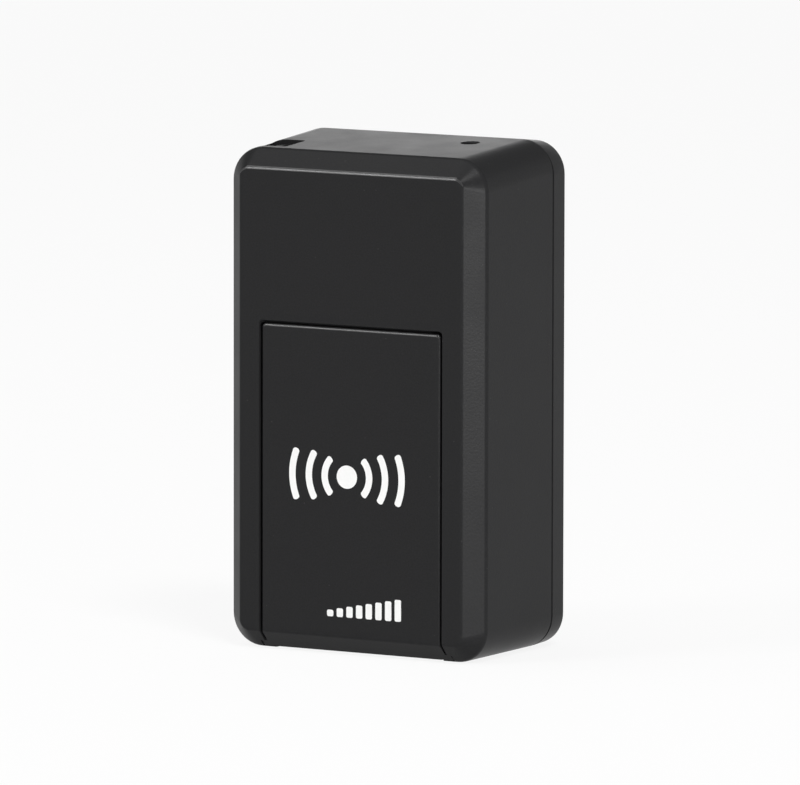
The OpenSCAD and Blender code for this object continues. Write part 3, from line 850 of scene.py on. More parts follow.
@dataclass(frozen=True)
class MetalFinish:
    """Plated or rolled metal with drawn lines and faint stains."""

    STAIN_SHARE = 0.6
    LINE_REACH = 0.00001
    LINE_ROUGHNESS = 0.15
    STAIN_ROUGHNESS = 0.1
    ROUGHNESS_SHIFT = -0.05

    name: str
    colour: Colour
    darker: Colour
    roughness: float
    line_size: float = 3000.0
    line_depth: float = 0.15

    def build(self, effects: Effects) -> bpy.types.Material:
        """Build the material.

        Args:
            effects: the shared node groups.

        Returns:
            The material.
        """
        material, n, shader = start_material(self.name)
        lines = n.group(effects.rolling, n.add("ShaderNodeTexCoord").outputs["Object"])
        lines.inputs["Size"].default_value = self.line_size
        stained = n.maths("MULTIPLY", lines.outputs["Stain"], self.STAIN_SHARE)
        n.join(n.blend(stained, self.colour, self.darker), shader.inputs["Base Color"])
        fine = n.maths("MULTIPLY", lines.outputs["Lines"], self.LINE_ROUGHNESS)
        broad = n.maths("MULTIPLY", lines.outputs["Stain"], self.STAIN_ROUGHNESS)
        rough = n.maths("ADD", n.maths("ADD", fine, broad), self.roughness + self.ROUGHNESS_SHIFT)
        n.join(rough, shader.inputs["Roughness"])
        n.join(n.bump(lines.outputs["Lines"], self.line_depth, self.LINE_REACH), shader.inputs["Normal"])
        shader.inputs["Metallic"].default_value = 1.0
        return material


class Finishes:
    """Every finish of the tracker, built once and found by its slot."""

    CASE_DARK = (0.0150, 0.0150, 0.0156)
    CASE_LIGHT = (0.0235, 0.0235, 0.0242)
    PLANS = {
        Slot.CASE: MouldedFinish(
            "satin black case", CASE_DARK, CASE_LIGHT, 0.34, spread=0.05, specular=0.06, dust=0.05,
        ),
        Slot.BOARD: MouldedFinish(
            "green solder mask", (0.008, 0.075, 0.028), (0.014, 0.105, 0.042), 0.3,
            grain_size=4000, grain_depth=0.1, coat=0.3,
        ),
        Slot.INSULATOR: MouldedFinish("connector plastic", (0.012, 0.012, 0.013), (0.024, 0.024, 0.026), 0.5),
        Slot.STEEL: MetalFinish("tinned sheet", (0.66, 0.67, 0.69), (0.45, 0.45, 0.46), 0.28),
        Slot.GOLD: MetalFinish("gold flash", (0.86, 0.63, 0.24), (0.70, 0.48, 0.17), 0.22),
        Slot.CARD_WHITE: MouldedFinish(
            "white card", (0.78, 0.78, 0.76), (0.84, 0.84, 0.82), 0.42, grain_depth=0.1,
        ),
        Slot.CARD_BLACK: MouldedFinish(
            "black card", (0.016, 0.016, 0.018), (0.024, 0.024, 0.026), 0.28, grain_depth=0.12,
        ),
        Slot.RUBBER: MouldedFinish(
            "soft rubber", (0.022, 0.022, 0.022), (0.038, 0.038, 0.038), 0.75, grain_depth=0.4, dust=0.3,
        ),
        Slot.RED: MouldedFinish(
            "red insulation", (0.50, 0.015, 0.015), (0.60, 0.03, 0.025), 0.3, grain_depth=0.08,
        ),
        Slot.BLACK: MouldedFinish(
            "black insulation", (0.012, 0.012, 0.012), (0.02, 0.02, 0.02), 0.3, grain_depth=0.08,
        ),
        Slot.FOIL: MetalFinish("pouch foil", (0.66, 0.68, 0.70), (0.50, 0.51, 0.53), 0.38, line_size=5000),
        Slot.FOAM: MouldedFinish(
            "foam tape", (0.60, 0.55, 0.40), (0.80, 0.76, 0.62), 0.85, grain_size=6000, grain_depth=0.8,
        ),
        Slot.NICKEL: MetalFinish("bright nickel", (0.68, 0.66, 0.62), (0.55, 0.53, 0.49), 0.16),
        Slot.CERAMIC: MouldedFinish(
            "fired ceramic", (0.42, 0.34, 0.23), (0.60, 0.52, 0.38), 0.5, grain_size=7000, grain_depth=0.3,
        ),
        Slot.EPOXY: MouldedFinish(
            "moulding compound", (0.012, 0.012, 0.013), (0.03, 0.03, 0.032), 0.55,
            grain_size=7000, grain_depth=0.4,
        ),
        Slot.LAMP: MouldedFinish(
            "lamp resin", (0.74, 0.80, 0.74), (0.86, 0.90, 0.86), 0.15, grain_depth=0.05, coat=0.4,
        ),
    }
    # Painted highlight: the case's own colour with a far higher specular level and slightly less roughness,
    # given only to the rounded upward-facing front edges, where it paints the bright edge line.
    PAINTED_HIGHLIGHT = MouldedFinish(
        "case edge painted highlight", CASE_DARK, CASE_LIGHT, 0.32, spread=0.04, grain_depth=0.06, specular=0.66,
    )
    RUNS = MouldedFinish(
        "solder mask over copper", (0.022, 0.17, 0.06), (0.032, 0.21, 0.08), 0.26,
        grain_size=4000, grain_depth=0.1, coat=0.3,
    )
    INK = MouldedFinish(
        "white ink", (0.80, 0.80, 0.79), (0.88, 0.88, 0.87), 0.45, grain_size=6000, grain_depth=0.2,
    )

    def __init__(self) -> None:
        """Build the materials."""
        effects = Effects()
        self.of = {slot: plan.build(effects) for slot, plan in self.PLANS.items()}
        self.painted_highlight = self.PAINTED_HIGHLIGHT.build(effects)
        self.runs = self.RUNS.build(effects)
        self.ink = self.INK.build(effects)


# ---------------------------------------------------------------- the studio


@dataclass
class Studio:
    """Floor, surrounding light, lamps and camera."""

    azimuth: float = 29.887
    elevation: float = 6.87
    roll: float = 0.1
    distance: float = 750.0
    lens_px: float = 10952.7
    sensor: float = 36.0
    aim_up: float = 17.2
    shift_right: float = 0.406
    shift_up: float = 0.299
    floor_radius: float = 3.0
    floor_grey: float = 0.6
    floor_glow: float = 0.82
    floor_strength: float = 1.07
    sky: tuple[tuple[float, float], ...] = ((0.62, 1.0), (0.75, 0.12), (0.82, 0.12), (0.93, 0.35))
    sky_strength: float = 0.6
    lamp_aim: Point = (0, 0, 0.017)
    lamps: tuple[tuple[str, Point, float, float, float], ...] = (
        ("top box", (-0.30, -0.12, 0.85), 0.6, 0.6, 2.1),
        ("key box", (-0.40, -0.544, 0.424), 0.22, 0.22, 1.86),
        ("corner box", (0.313, -0.244, 0.593), 0.16, 0.16, 2.2),
        ("low strip", (0.574, -0.37, 0.032), 0.15, 0.06, 2.55),
        ("back card", (-0.38, 0.72, 0.16), 0.75, 0.3, 0.88),
    )

    def build(self) -> None:
        """Set up the whole studio."""
        scene = bpy.context.scene
        scene.view_settings.view_transform = "Standard"
        self._camera(scene)
        self._floor()
        self._sky(scene)
        self._lamps()
        LOG.info("studio ready")

    def _camera(self, scene: bpy.types.Scene) -> None:
        """Place the camera at the photograph's viewpoint.

        Args:
            scene: the scene that it belongs to.
        """
        a, e = math.radians(self.azimuth), math.radians(self.elevation)
        back = Vector((math.sin(a) * math.cos(e), -math.cos(a) * math.cos(e), math.sin(e)))
        facing = (-back).to_track_quat("-Z", "Y")
        right, up = facing @ Vector((1, 0, 0)), facing @ Vector((0, 1, 0))
        aim = Vector((0, 0, self.aim_up)) + right * self.shift_right + up * self.shift_up
        data = bpy.data.cameras.new("view")
        data.sensor_fit, data.sensor_width = "HORIZONTAL", self.sensor
        data.lens = self.lens_px * self.sensor / PICTURE_W
        data.clip_start, data.clip_end = 0.01, 20.0
        camera = put("view", data)
        stand = Matrix.Translation((aim + back * self.distance) * MM)
        tilt = Matrix.Rotation(math.radians(self.roll), 4, "Z")
        camera.matrix_world = stand @ facing.to_matrix().to_4x4() @ tilt
        scene.camera = camera

    def _floor(self) -> None:
        """Lay a pale floor that keeps the shadow, is seen as near white and is clear from below."""
        bm = bmesh.new()
        bmesh.ops.create_circle(bm, cap_ends=True, segments=ROUND, radius=self.floor_radius)
        mesh = bpy.data.meshes.new("floor")
        bm.to_mesh(mesh)
        bm.free()
        floor = put("floor", mesh)
        material, n, shader = start_material("pale floor")
        shader.inputs["Base Color"].default_value = (*[self.floor_grey] * 3, 1)
        shader.inputs["Roughness"].default_value = 0.9
        shader.inputs["Specular IOR Level"].default_value = 0.0
        path = n.add("ShaderNodeLightPath")
        seen = n.maths("MAXIMUM", path.outputs["Is Camera Ray"], path.outputs["Is Glossy Ray"])
        seen = n.maths("MAXIMUM", seen, path.outputs["Is Transmission Ray"])
        glow = n.add("ShaderNodeEmission")
        glow.inputs["Strength"].default_value = self.floor_strength
        both = n.add("ShaderNodeMixShader")
        n.join(n.maths("MULTIPLY", seen, self.floor_glow), both.inputs[0])
        n.join(shader.outputs[0], both.inputs[1])
        n.join(glow.outputs[0], both.inputs[2])
        sides = n.add("ShaderNodeMixShader")
        n.join(n.add("ShaderNodeNewGeometry").outputs["Backfacing"], sides.inputs[0])
        n.join(both.outputs[0], sides.inputs[1])
        n.join(n.add("ShaderNodeBsdfTransparent").outputs[0], sides.inputs[2])
        n.join(sides.outputs[0], material.node_tree.nodes["Material Output"].inputs["Surface"])
        mesh.materials.append(material)

    def _sky(self, scene: bpy.types.Scene) -> None:
        """Surround the scene with light that is strongest near the horizon.

        Args:
            scene: the scene to light.
        """
        world = bpy.data.worlds.new("studio")
        scene.world = world
        world.use_nodes = True
        n = Nodes(world.node_tree)
        parts = n.add("ShaderNodeSeparateXYZ")
        n.join(n.add("ShaderNodeTexCoord").outputs["Generated"], parts.inputs[0])
        height = n.maths("ADD", n.maths("MULTIPLY", parts.outputs["Z"], 0.5), 0.5)
        back = world.node_tree.nodes["Background"]
        n.join(n.ramp(height, self.sky), back.inputs["Color"])
        back.inputs["Strength"].default_value = self.sky_strength

    def _lamps(self) -> None:
        """Hang the soft boxes: name, place, width, height and power of each."""
        for name, place, wide, high, power in self.lamps:
            data = bpy.data.lights.new(name, "AREA")
            data.shape, data.size, data.size_y, data.energy = "RECTANGLE", wide, high, power
            lamp = put(name, data)
            lamp.location = place
            lamp.rotation_euler = (Vector(self.lamp_aim) - Vector(place)).to_track_quat("-Z", "Y").to_euler()
            lamp.visible_camera = False


# ---------------------------------------------------------------- sub-assemblies


@dataclass
class Assembly:
    """What every sub-assembly works with: the finishes and the CAD nodes."""

    finishes: Finishes
    nodes: dict[str, bpy.types.Object]

    def room(self, name: str) -> Space:
        """Return the room of a CAD node that is one solid."""
        return spaces(self.nodes[name])[0]

    def keep(self, name: str, slot: Slot) -> None:
        """Leave a CAD node in its place and give it its finish.

        Args:
            name: the node.
            slot: the record's material slot.
        """
        node = self.nodes[name]
        node.data.materials.clear()
        node.data.materials.append(self.finishes.of[slot])
        LOG.info("%s: kept", name)

    def add(
        self, solid: Solid, name: str, slot: Slot, rider: Rider = Rider.BODY,
        replaces: tuple[str, ...] = (), second: bpy.types.Material | None = None,
    ) -> None:
        """Finish a solid as a piece of this sub-assembly.

        Args:
            solid: the solid.
            name: the piece's name.
            slot: the record's material slot.
            rider: the body that it moves with.
            replaces: CAD nodes that it stands for.
            second: a finish for its painted faces.
        """
        looks = [self.finishes.of[slot]] + ([second] if second else [])
        solid.finish(name, looks, rider, slot, replaces)


@dataclass
class FrontCase(Assembly):
    """The bevelled box that holds the door, the board and the microphone."""

    form: BodyForm = field(default_factory=BodyForm)
    face_round: float = 0.42
    side_round: float = 0.5
    wall: float = 1.0
    front_wall: float = 1.2
    frame_back: float = 1.75
    frame_top: float = 24.25
    opening: Outline = Outline(-7.2, 7.2, -3.0, 22.7, 0.3)
    groove: Outline = Outline(-7.55, 7.55, -OVER, 23.05, 0.0)
    groove_depths: tuple[float, float] = (0.8, 1.35)
    bay_half: float = 6.6
    bay_top: float = 22.15
    bay_low: float = -0.2
    mouth_low: float = -0.3
    mouth_edge: float = 0.05
    foot_back: float = 3.86
    post_x: float = 7.6
    post_z: tuple[float, float, float] = (3.4, 22.9, 31.0)
    post_radius: float = 0.95
    rest_radius: float = 0.7
    pin_radius: float = 0.45
    screw_hole: tuple[float, float, float] = (2.25, 2.0, 0.65)
    snap_groove: float = 0.3
    board: tuple[float, float] = (4.0, 4.8)
    eye: Outline = Outline(-8.9, -6.2, -4.675, -1.925, 0.25)
    eye_floor: float = 32.5
    eye_wall: float = 0.4
    eye_block: tuple[float, float, float] = (1.1, 5.075, 32.1)
    eye_bar: tuple[float, float, float] = (-7.55, 34.04, 0.3)
    sound: tuple[float, float, float] = (5.15, 7.35, 34.81)
    sound_radius: float = 0.625
    sound_flare: float = 0.16
    sound_sunk: float = 0.06
    sound_low: float = 33.0
    ribs: tuple[tuple[float, float], ...] = ((-2.94, -2.44), (2.44, 2.94))
    rib_depths: tuple[float, float] = (5.55, 9.15)
    rib_low: float = 31.79
    port: Outline = Outline(4.55, 7.6, 23.75, 31.65, 0.9)
    port_deep: float = 1.35
    port_face: float = 10.25
    # Depth from the front within which faces can get the painted edge highlight.
    highlight_front: float = 0.16

    def skin_rings(self, steps: int = 5) -> list[tuple[float, Outline]]:
        """Give the outer outlines, with both long edges of the bevel rounded.

        Args:
            steps: segments across each rounded edge.

        Returns:
            Pairs of depth and outline, from front to back.
        """
        form, rings, slope = self.form, [], self.form.slope
        reach = self.face_round * math.tan(slope / 2)
        for k in range(steps + 1):
            a = slope * k / steps
            y = self.face_round * (1 - math.cos(a))
            rings.append((y, form.skin(self.face_round * math.sin(a) - reach, y)))
        rest = math.pi / 2 - slope
        reach = self.side_round * math.tan(rest / 2)
        for k in range(steps + 1):
            a = slope + rest * k / steps
            y = form.bevel_d + reach - self.side_round * math.cos(a)
            rings.append((y, form.skin(form.bevel_w - self.side_round * (1 - math.sin(a)), y)))
        edge = form.case_d - form.seam_half
        rings.append((edge, form.skin(form.bevel_w, edge)))
        rings.append((form.case_d, form.skin(form.bevel_w, form.case_d).inset(form.seam_deep)))
        return rings

    def build(self) -> None:
        """Build and dress the case."""
        case = Solid().loft(self.skin_rings())
        self._hollow(case)
        self._add_posts(case)
        self._cut_front(case)
        self._cut_eye(case)
        self._cut_holes(case)
        case.flatten_seams()
        half, top = self.opening.right + OVER, self.opening.high + OVER
        case.soften(self.mouth_edge, lambda co: co.y < 2 * NEAR and abs(co.x) < half and co.z < top, 2)
        # Painted highlight: the rounded top edge faces next to the front plane get the high-specular finish.
        case.paint(
            lambda f: f.calc_center_median().y < self.highlight_front
            and HIGHLIGHT_TILT[0] < f.normal.y < HIGHLIGHT_TILT[1] and f.normal.z > HIGHLIGHT_RISE
        )
        self.add(case, "front_shell", Slot.CASE, replaces=("front_case",), second=self.finishes.painted_highlight)

    def _hollow(self, case: Solid) -> None:
        """Take out the room behind the front wall.

        Args:
            case: the solid to cut.
        """
        form = self.form
        depths = (self.frame_back, form.case_d + OVER)
        case.mix(Solid().loft([(y, form.wall(self.wall, y)) for y in depths]), Mix.CUT)
        depths = (self.front_wall, self.frame_back + OVER)
        upper = Solid().loft([(y, form.wall(self.wall, y)) for y in depths])
        over = Solid().block((-PAST_SIDE, 0, self.frame_top), (PAST_SIDE, WHOLE_DEPTH / 2, PAST_TOP))
        upper.mix(over, Mix.KEEP)
        case.mix(upper, Mix.CUT)

    def _add_posts(self, case: Solid) -> None:
        """Add the screw posts, the pins, the board's rests, the eye's block and the boot's ribs.

        Args:
            case: the solid to add to.
        """
        form, front = self.form, self.frame_back - OVER
        board, back = self.board
        screw_z, pin_z, rest_z = self.post_z
        posts, pins = Solid(), Solid()
        for side in (-1, 1):
            x = side * self.post_x
            for z in (screw_z, pin_z):
                posts.rod((x, front, z), Along.Y, board - front, self.post_radius)
            rest = (x, self.front_wall - OVER, rest_z)
            posts.rod(rest, Along.Y, board - self.front_wall + OVER, self.rest_radius)
            pins.rod((x, board - OVER, pin_z), Along.Y, back - board + OVER, self.pin_radius)
        case.mix(posts, Mix.JOIN)
        case.mix(pins, Mix.JOIN)
        eye = Solid().loft([(y, form.wall(self.wall / 2, y)) for y in (self.front_wall - OVER, form.case_d)])
        near, far, low = self.eye_block
        keep = Solid().block((-PAST_SIDE, near, low), (self.eye.right + self.eye_wall, far, PAST_TOP))
        eye.mix(keep, Mix.KEEP)
        case.mix(eye, Mix.JOIN)
        ribs = Solid().loft([(y, form.wall(self.wall / 2, y)) for y in (self.front_wall, form.case_d)])
        bars = Solid()
        near, far = self.rib_depths
        for left, right in self.ribs:
            bars.block((self.sound[0] + left, near, self.rib_low), (self.sound[0] + right, far, PAST_TOP))
        case.mix(ribs.mix(bars, Mix.KEEP), Mix.JOIN)

    def _cut_front(self, case: Solid) -> None:
        """Cut the door's opening, its groove and the card bay.

        Args:
            case: the solid to cut.
        """
        front, back = self.groove_depths
        case.mix(Solid().loft([(-OVER, self.opening), (front + OVER / 2, self.opening)], 8), Mix.CUT)
        case.mix(Solid().plate(self.groove, front, back), Mix.CUT)
        half = self.bay_half
        bay = Solid().block((-half, front + NEAR, self.bay_low), (half, self.frame_back + OVER, self.bay_top))
        case.mix(bay, Mix.CUT)
        near, high = front + 2 * NEAR, self.wall + OVER
        mouth = Solid().block((-half, near, self.mouth_low), (half, self.foot_back, high))
        case.mix(mouth, Mix.CUT)

    def _cut_eye(self, case: Solid) -> None:
        """Sink the lanyard well and leave the bar across it.

        Args:
            case: the solid to cut.
        """
        well = Solid().loft([(self.eye_floor, self.eye), (PAST_TOP, self.eye)], 6).turn(math.pi / 2, Along.X)
        x, z, radius = self.eye_bar
        well.mix(Solid().rod((x, -self.eye.high - OVER, z), Along.Y, 3.0, radius, sides=32), Mix.CUT)
        case.mix(well, Mix.CUT)

    def _cut_holes(self, case: Solid) -> None:
        """Cut the sound hole, the port's hole, the screw holes and the snap grooves.

        Args:
            case: the solid to cut.
        """
        x, y, z = self.sound
        radius, flare = self.sound_radius, self.sound_flare
        case.mix(Solid().rod((x, y, self.sound_low), Along.Z, 4, radius), Mix.CUT)
        cone = Solid().rod((x, y, z - self.sound_sunk), Along.Z, flare, radius, radius + flare)
        case.mix(cone, Mix.CUT)
        hole = Solid().loft([(0, self.port), (self.port_deep, self.port)], 8).turn(math.pi / 2, Along.Z)
        case.mix(hole.move((self.port_deep - self.port_face, 0, 0)), Mix.CUT)
        screws = Solid()
        front, deep, radius = self.screw_hole
        for side in (-1, 1):
            screws.rod((side * self.post_x, front, self.post_z[0]), Along.Y, deep, radius)
        case.mix(screws, Mix.CUT)
        case.mix(snap_bars(self.form, self.snap_groove), Mix.CUT)


def snap_bars(form: BodyForm, radius: float) -> Solid:
    """Make the four upright bars that the cover's beads, or the case's grooves, come from.

    Args:
        form: the body's form.
        radius: radius of the bars.

    Returns:
        The bars as one solid.
    """
    bars, y, length = Solid(), form.case_d - form.snap_back, form.snap_length
    x = form.wall(form.snap_in, y).right
    for side in (-1, 1):
        for share in form.snap_shares:
            bars.rod((side * x, y, share * form.height - length / 2), Along.Z, length, radius, sides=32)
    return bars


@dataclass
class RearCover(Assembly):
    """The shallow lid with its lip, snap beads and magnet cups, and the two magnets."""

    form: BodyForm = field(default_factory=BodyForm)
    edge_round: float = 0.3
    edge_steps: int = 5
    draft: float = 0.05
    wall: float = 1.0
    lip_front: float = 9.3
    rim: float = 1.65
    cup_front: float = 10.05
    cup_radius: float = 4.65
    pocket_front: float = 10.45
    pocket_radius: float = 4.05
    magnet_z: tuple[float, float] = (8.5, 26.5)
    magnet_edge: float = 0.18
    pocket_edge: float = 0.06
    snap_bead: float = 0.25
    lip_gap: float = 0.05
    boot_room: tuple[Point, Point] = ((2.17, 7.35, 31.19), (8.13, 10.33, 34.0))

    def build(self) -> None:
        """Build and dress the cover and the magnets."""
        form = self.form
        back = WHOLE_DEPTH - self.edge_round
        drop = form.lid_drop
        rings = [
            (form.case_d, form.lid(form.seam_deep, drop)),
            (form.case_d + form.seam_half, form.lid(0.0, drop)),
        ]
        for k in range(self.edge_steps + 1):
            a = math.pi / 2 * k / self.edge_steps
            inset = self.draft + self.edge_round * (1 - math.cos(a))
            rings.append((back + self.edge_round * math.sin(a), form.lid(inset, drop)))
        cover = Solid().loft(rings)
        inset, depths = self.wall + self.lip_gap, (self.lip_front, form.case_d + OVER)
        cover.mix(Solid().loft([(y, form.wall(inset, y)) for y in depths]), Mix.JOIN)
        cover.mix(snap_bars(form, self.snap_bead), Mix.JOIN)
        room = [(y, form.lid(self.rim, 0.0)) for y in (self.lip_front - OVER, WHOLE_DEPTH - self.wall)]
        cover.mix(Solid().loft(room), Mix.CUT)
        cover.mix(Solid().block(*self.boot_room), Mix.CUT)
        cups, pockets = Solid(), Solid()
        cup = WHOLE_DEPTH - self.wall + OVER - self.cup_front
        for z in self.magnet_z:
            cups.rod((0, self.cup_front, z), Along.Y, cup, self.cup_radius, sides=ROUND)
            pockets.rod((0, self.pocket_front, z), Along.Y, 2.0, self.pocket_radius, sides=ROUND)
        cover.mix(cups, Mix.JOIN)
        cover.mix(pockets, Mix.CUT)
        cover.flatten_seams()
        within = self.pocket_radius + OVER / 2
        cover.soften(self.pocket_edge, lambda co: co.y > WHOLE_DEPTH - NEAR and abs(co.x) < within, 2)
        self.add(cover, "rear_lid", Slot.CASE, replaces=("rear_cover",))
        for name in ("lower_magnet", "upper_magnet"):
            self._magnet(name)

    def _magnet(self, name: str) -> None:
        """Build one plated disc with rolled edges.

        Args:
            name: the CAD node that it stands for.
        """
        room = self.room(name)
        radius = (room.high.x - room.low.x) / 2
        start = ((room.low.x + room.high.x) / 2, room.low.y, (room.low.z + room.high.z) / 2)
        disc = Solid().rod(start, Along.Y, room.high.y - room.low.y, radius, sides=ROUND)
        disc.soften(self.magnet_edge, segments=4)
        self.add(disc, name + "_disc", Slot.NICKEL, replaces=(name,))


@dataclass
class CardDoor(Assembly):
    """The sliding card door with its rails, its foot and the generic marks on its front."""

    form: BodyForm = field(default_factory=BodyForm)
    plate: Outline = Outline(-7.0, 7.0, -2.0, 22.5, 0.3)
    low: float = 0.08
    thick: float = 0.9
    set_back: float = 0.012
    edge: float = 0.2
    rails: Outline = Outline(-7.45, 7.45, 0.05, 22.95, 0.0)
    rail_depths: tuple[float, float] = (0.85, 1.25)
    frame_half: float = 6.65
    frame_top: float = 22.15
    # Depth from the front within which the door's faces can get the painted edge highlight.
    highlight_front: float = 0.24
    foot_half: float = 6.5
    foot_top: float = 1.0
    foot_front: float = 0.8
    foot_back: float = 3.76
    sign_centre: tuple[float, float] = (-0.25, 12.3)
    sign_dot: float = 0.8
    sign_arcs: tuple[tuple[float, float], ...] = ((1.75, 0.80), (3.0, 0.58), (4.3, 0.42))
    sign_line: float = 0.5
    bars_corner: tuple[float, float] = (-1.8, 2.65)
    bars_pitch: float = 0.76
    bars_wide: float = 0.5
    bars_least: float = 0.45
    bars_step: float = 0.15
    bars_round: float = 0.12
    ink_front: float = 0.003
    ink_sunk: float = 0.01
    bars_count: int = 8

    def build(self) -> None:
        """Build and dress the door."""
        door = Solid().plate(self.plate, self.set_back, self.thick)
        front, back = self.rail_depths
        rails = Solid().plate(self.rails, front, back)
        half, top, thick = self.frame_half, self.foot_top, self.thick
        rails.mix(Solid().block((-half, thick, top), (half, 2.0, self.frame_top)), Mix.CUT)
        door.mix(rails, Mix.JOIN)
        half = self.foot_half
        door.mix(Solid().block((-half, self.foot_front, -top), (half, self.foot_back, top)), Mix.JOIN)
        door.mix(Solid().block((-PAST_SIDE, -1, -4), (PAST_SIDE, 8, self.low)), Mix.CUT)
        wedge = Solid().block((-PAST_SIDE, -8, 0), (PAST_SIDE, 0, 8))
        wedge.turn(math.pi - self.form.slope, Along.X).move((0, 0, self.form.bevel_w))
        door.mix(wedge, Mix.CUT)
        door.flatten_seams()
        door.soften(self.edge, lambda co: co.y < 2 * NEAR)
        # Painted highlight: the door's rounded upward-facing front edge faces get the high-specular finish.
        door.paint(
            lambda f: f.calc_center_median().y < self.highlight_front
            and f.normal.y > HIGHLIGHT_TILT[0] and f.normal.z > HIGHLIGHT_RISE
        )
        self.add(door, "door_plate", Slot.CASE, Rider.DOOR, ("sim_door",), self.finishes.painted_highlight)
        self._print_marks()

    def _print_marks(self) -> None:
        """Print a sender sign and a row of level bars on the door."""
        near, far = self.ink_front, self.set_back + self.ink_sunk
        (x, z), dot = self.sign_centre, self.sign_dot
        sign = Solid().plate(Outline(x - dot, x + dot, z - dot, z + dot, dot), near, far, 10)
        for radius, spread in self.sign_arcs:
            for side in (0.0, math.pi):
                sign.arc((x, near, z), radius, self.sign_line, (side - spread, side + spread), far - near)
        sign.finish("door_sign", [self.finishes.ink], Rider.DOOR, Slot.CARD_WHITE, ())
        bars = Solid()
        x, z = self.bars_corner
        for k in range(self.bars_count):
            left, top = x + k * self.bars_pitch, z + self.bars_least + self.bars_step * k
            bars.plate(Outline(left, left + self.bars_wide, z, top, self.bars_round), near, far, 4)
        bars.finish("door_level_bars", [self.finishes.ink], Rider.DOOR, Slot.CARD_WHITE, ())


@dataclass
class CardSlot(Assembly):
    """The holder with its pressed cage and contacts, and the two cards in it."""

    sheet: float = 0.15
    window: Outline = Outline(-3.0, 3.0, 11.75, 17.75, 0.45)
    finger_x: float = 4.6
    finger_half: float = 0.55
    finger_z: tuple[float, float] = (12.0, 17.2)
    slit: float = 0.2
    dimple: tuple[float, float] = (19.6, 0.4)
    pad_lift: float = 0.02
    pad_edge: float = 0.015
    network_pad: tuple[float, float, float] = (1.15, 1.5, 0.3)
    storage_pad: tuple[float, float, float, float] = (0.4, 17.2, 20.2, 0.12)

    def build(self) -> None:
        """Build and dress the card slot."""
        self._cage()
        self.keep("card_holder", Slot.INSULATOR)
        self.keep("sim_contacts", Slot.GOLD)
        self.keep("memory_contacts", Slot.GOLD)
        self.keep("sim_card", Slot.CARD_WHITE)
        self.keep("memory_card", Slot.CARD_BLACK)
        self._network_pads()
        self._storage_pads()

    def _cage(self) -> None:
        """Press the cage: a folded sheet with a window, two spring fingers and soft bends."""
        room = self.room("sim_cage")
        low, high = room.low, room.high
        cage = Solid().block(low, high)
        cage.soften(self.sheet, lambda co: co.y < low.y + NEAR)
        start = (low.x + self.sheet, low.y + self.sheet, low.z - OVER)
        cage.mix(Solid().block(start, (high.x - self.sheet, high.y + OVER, high.z + OVER)), Mix.CUT)
        near, far = low.y - OVER, low.y + 2 * self.sheet
        foot, tip = self.finger_z
        dimple_z, dimple_radius = self.dimple
        holes = Solid().plate(self.window, near, far)
        for side in (-1, 1):
            x = side * self.finger_x
            for left in (x - self.finger_half - self.slit, x + self.finger_half):
                holes.block((left, near, foot), (left + self.slit, far, tip))
            half = self.finger_half - NEAR
            holes.block((x - half, near, tip - self.slit), (x + half, far, tip))
            holes.rod((x, near, dimple_z), Along.Y, 0.5, dimple_radius, sides=24)
        cage.mix(holes, Mix.CUT)
        self.add(cage, "card_cage", Slot.STEEL, replaces=("sim_cage",))

    def _network_pads(self) -> None:
        """Lay the network card's gold fields on its back."""
        pads, back = Solid(), self.room("sim_card").high.y
        wide, tall, corner = self.network_pad
        for row in spaces(self.nodes["sim_contacts"]):
            x, z = (row.low.x + row.high.x) / 2, (row.low.z + row.high.z) / 2
            pad = Outline(x - wide, x + wide, z - tall, z + tall, corner)
            pads.pillow(pad, back - self.pad_lift, back + self.pad_lift, self.pad_edge, 3)
        self.add(pads, "network_card_fields", Slot.GOLD, Rider.NETWORK_CARD)

    def _storage_pads(self) -> None:
        """Lay the memory card's gold fields on its back."""
        pads, back = Solid(), self.room("memory_card").high.y
        wide, low, high, corner = self.storage_pad
        for row in spaces(self.nodes["memory_contacts"]):
            x = (row.low.x + row.high.x) / 2
            pad = Outline(x - wide, x + wide, low, high, corner)
            pads.pillow(pad, back - self.pad_lift, back + self.pad_lift, self.pad_edge, 3)
        self.add(pads, "memory_card_fields", Slot.GOLD, Rider.STORAGE_CARD)


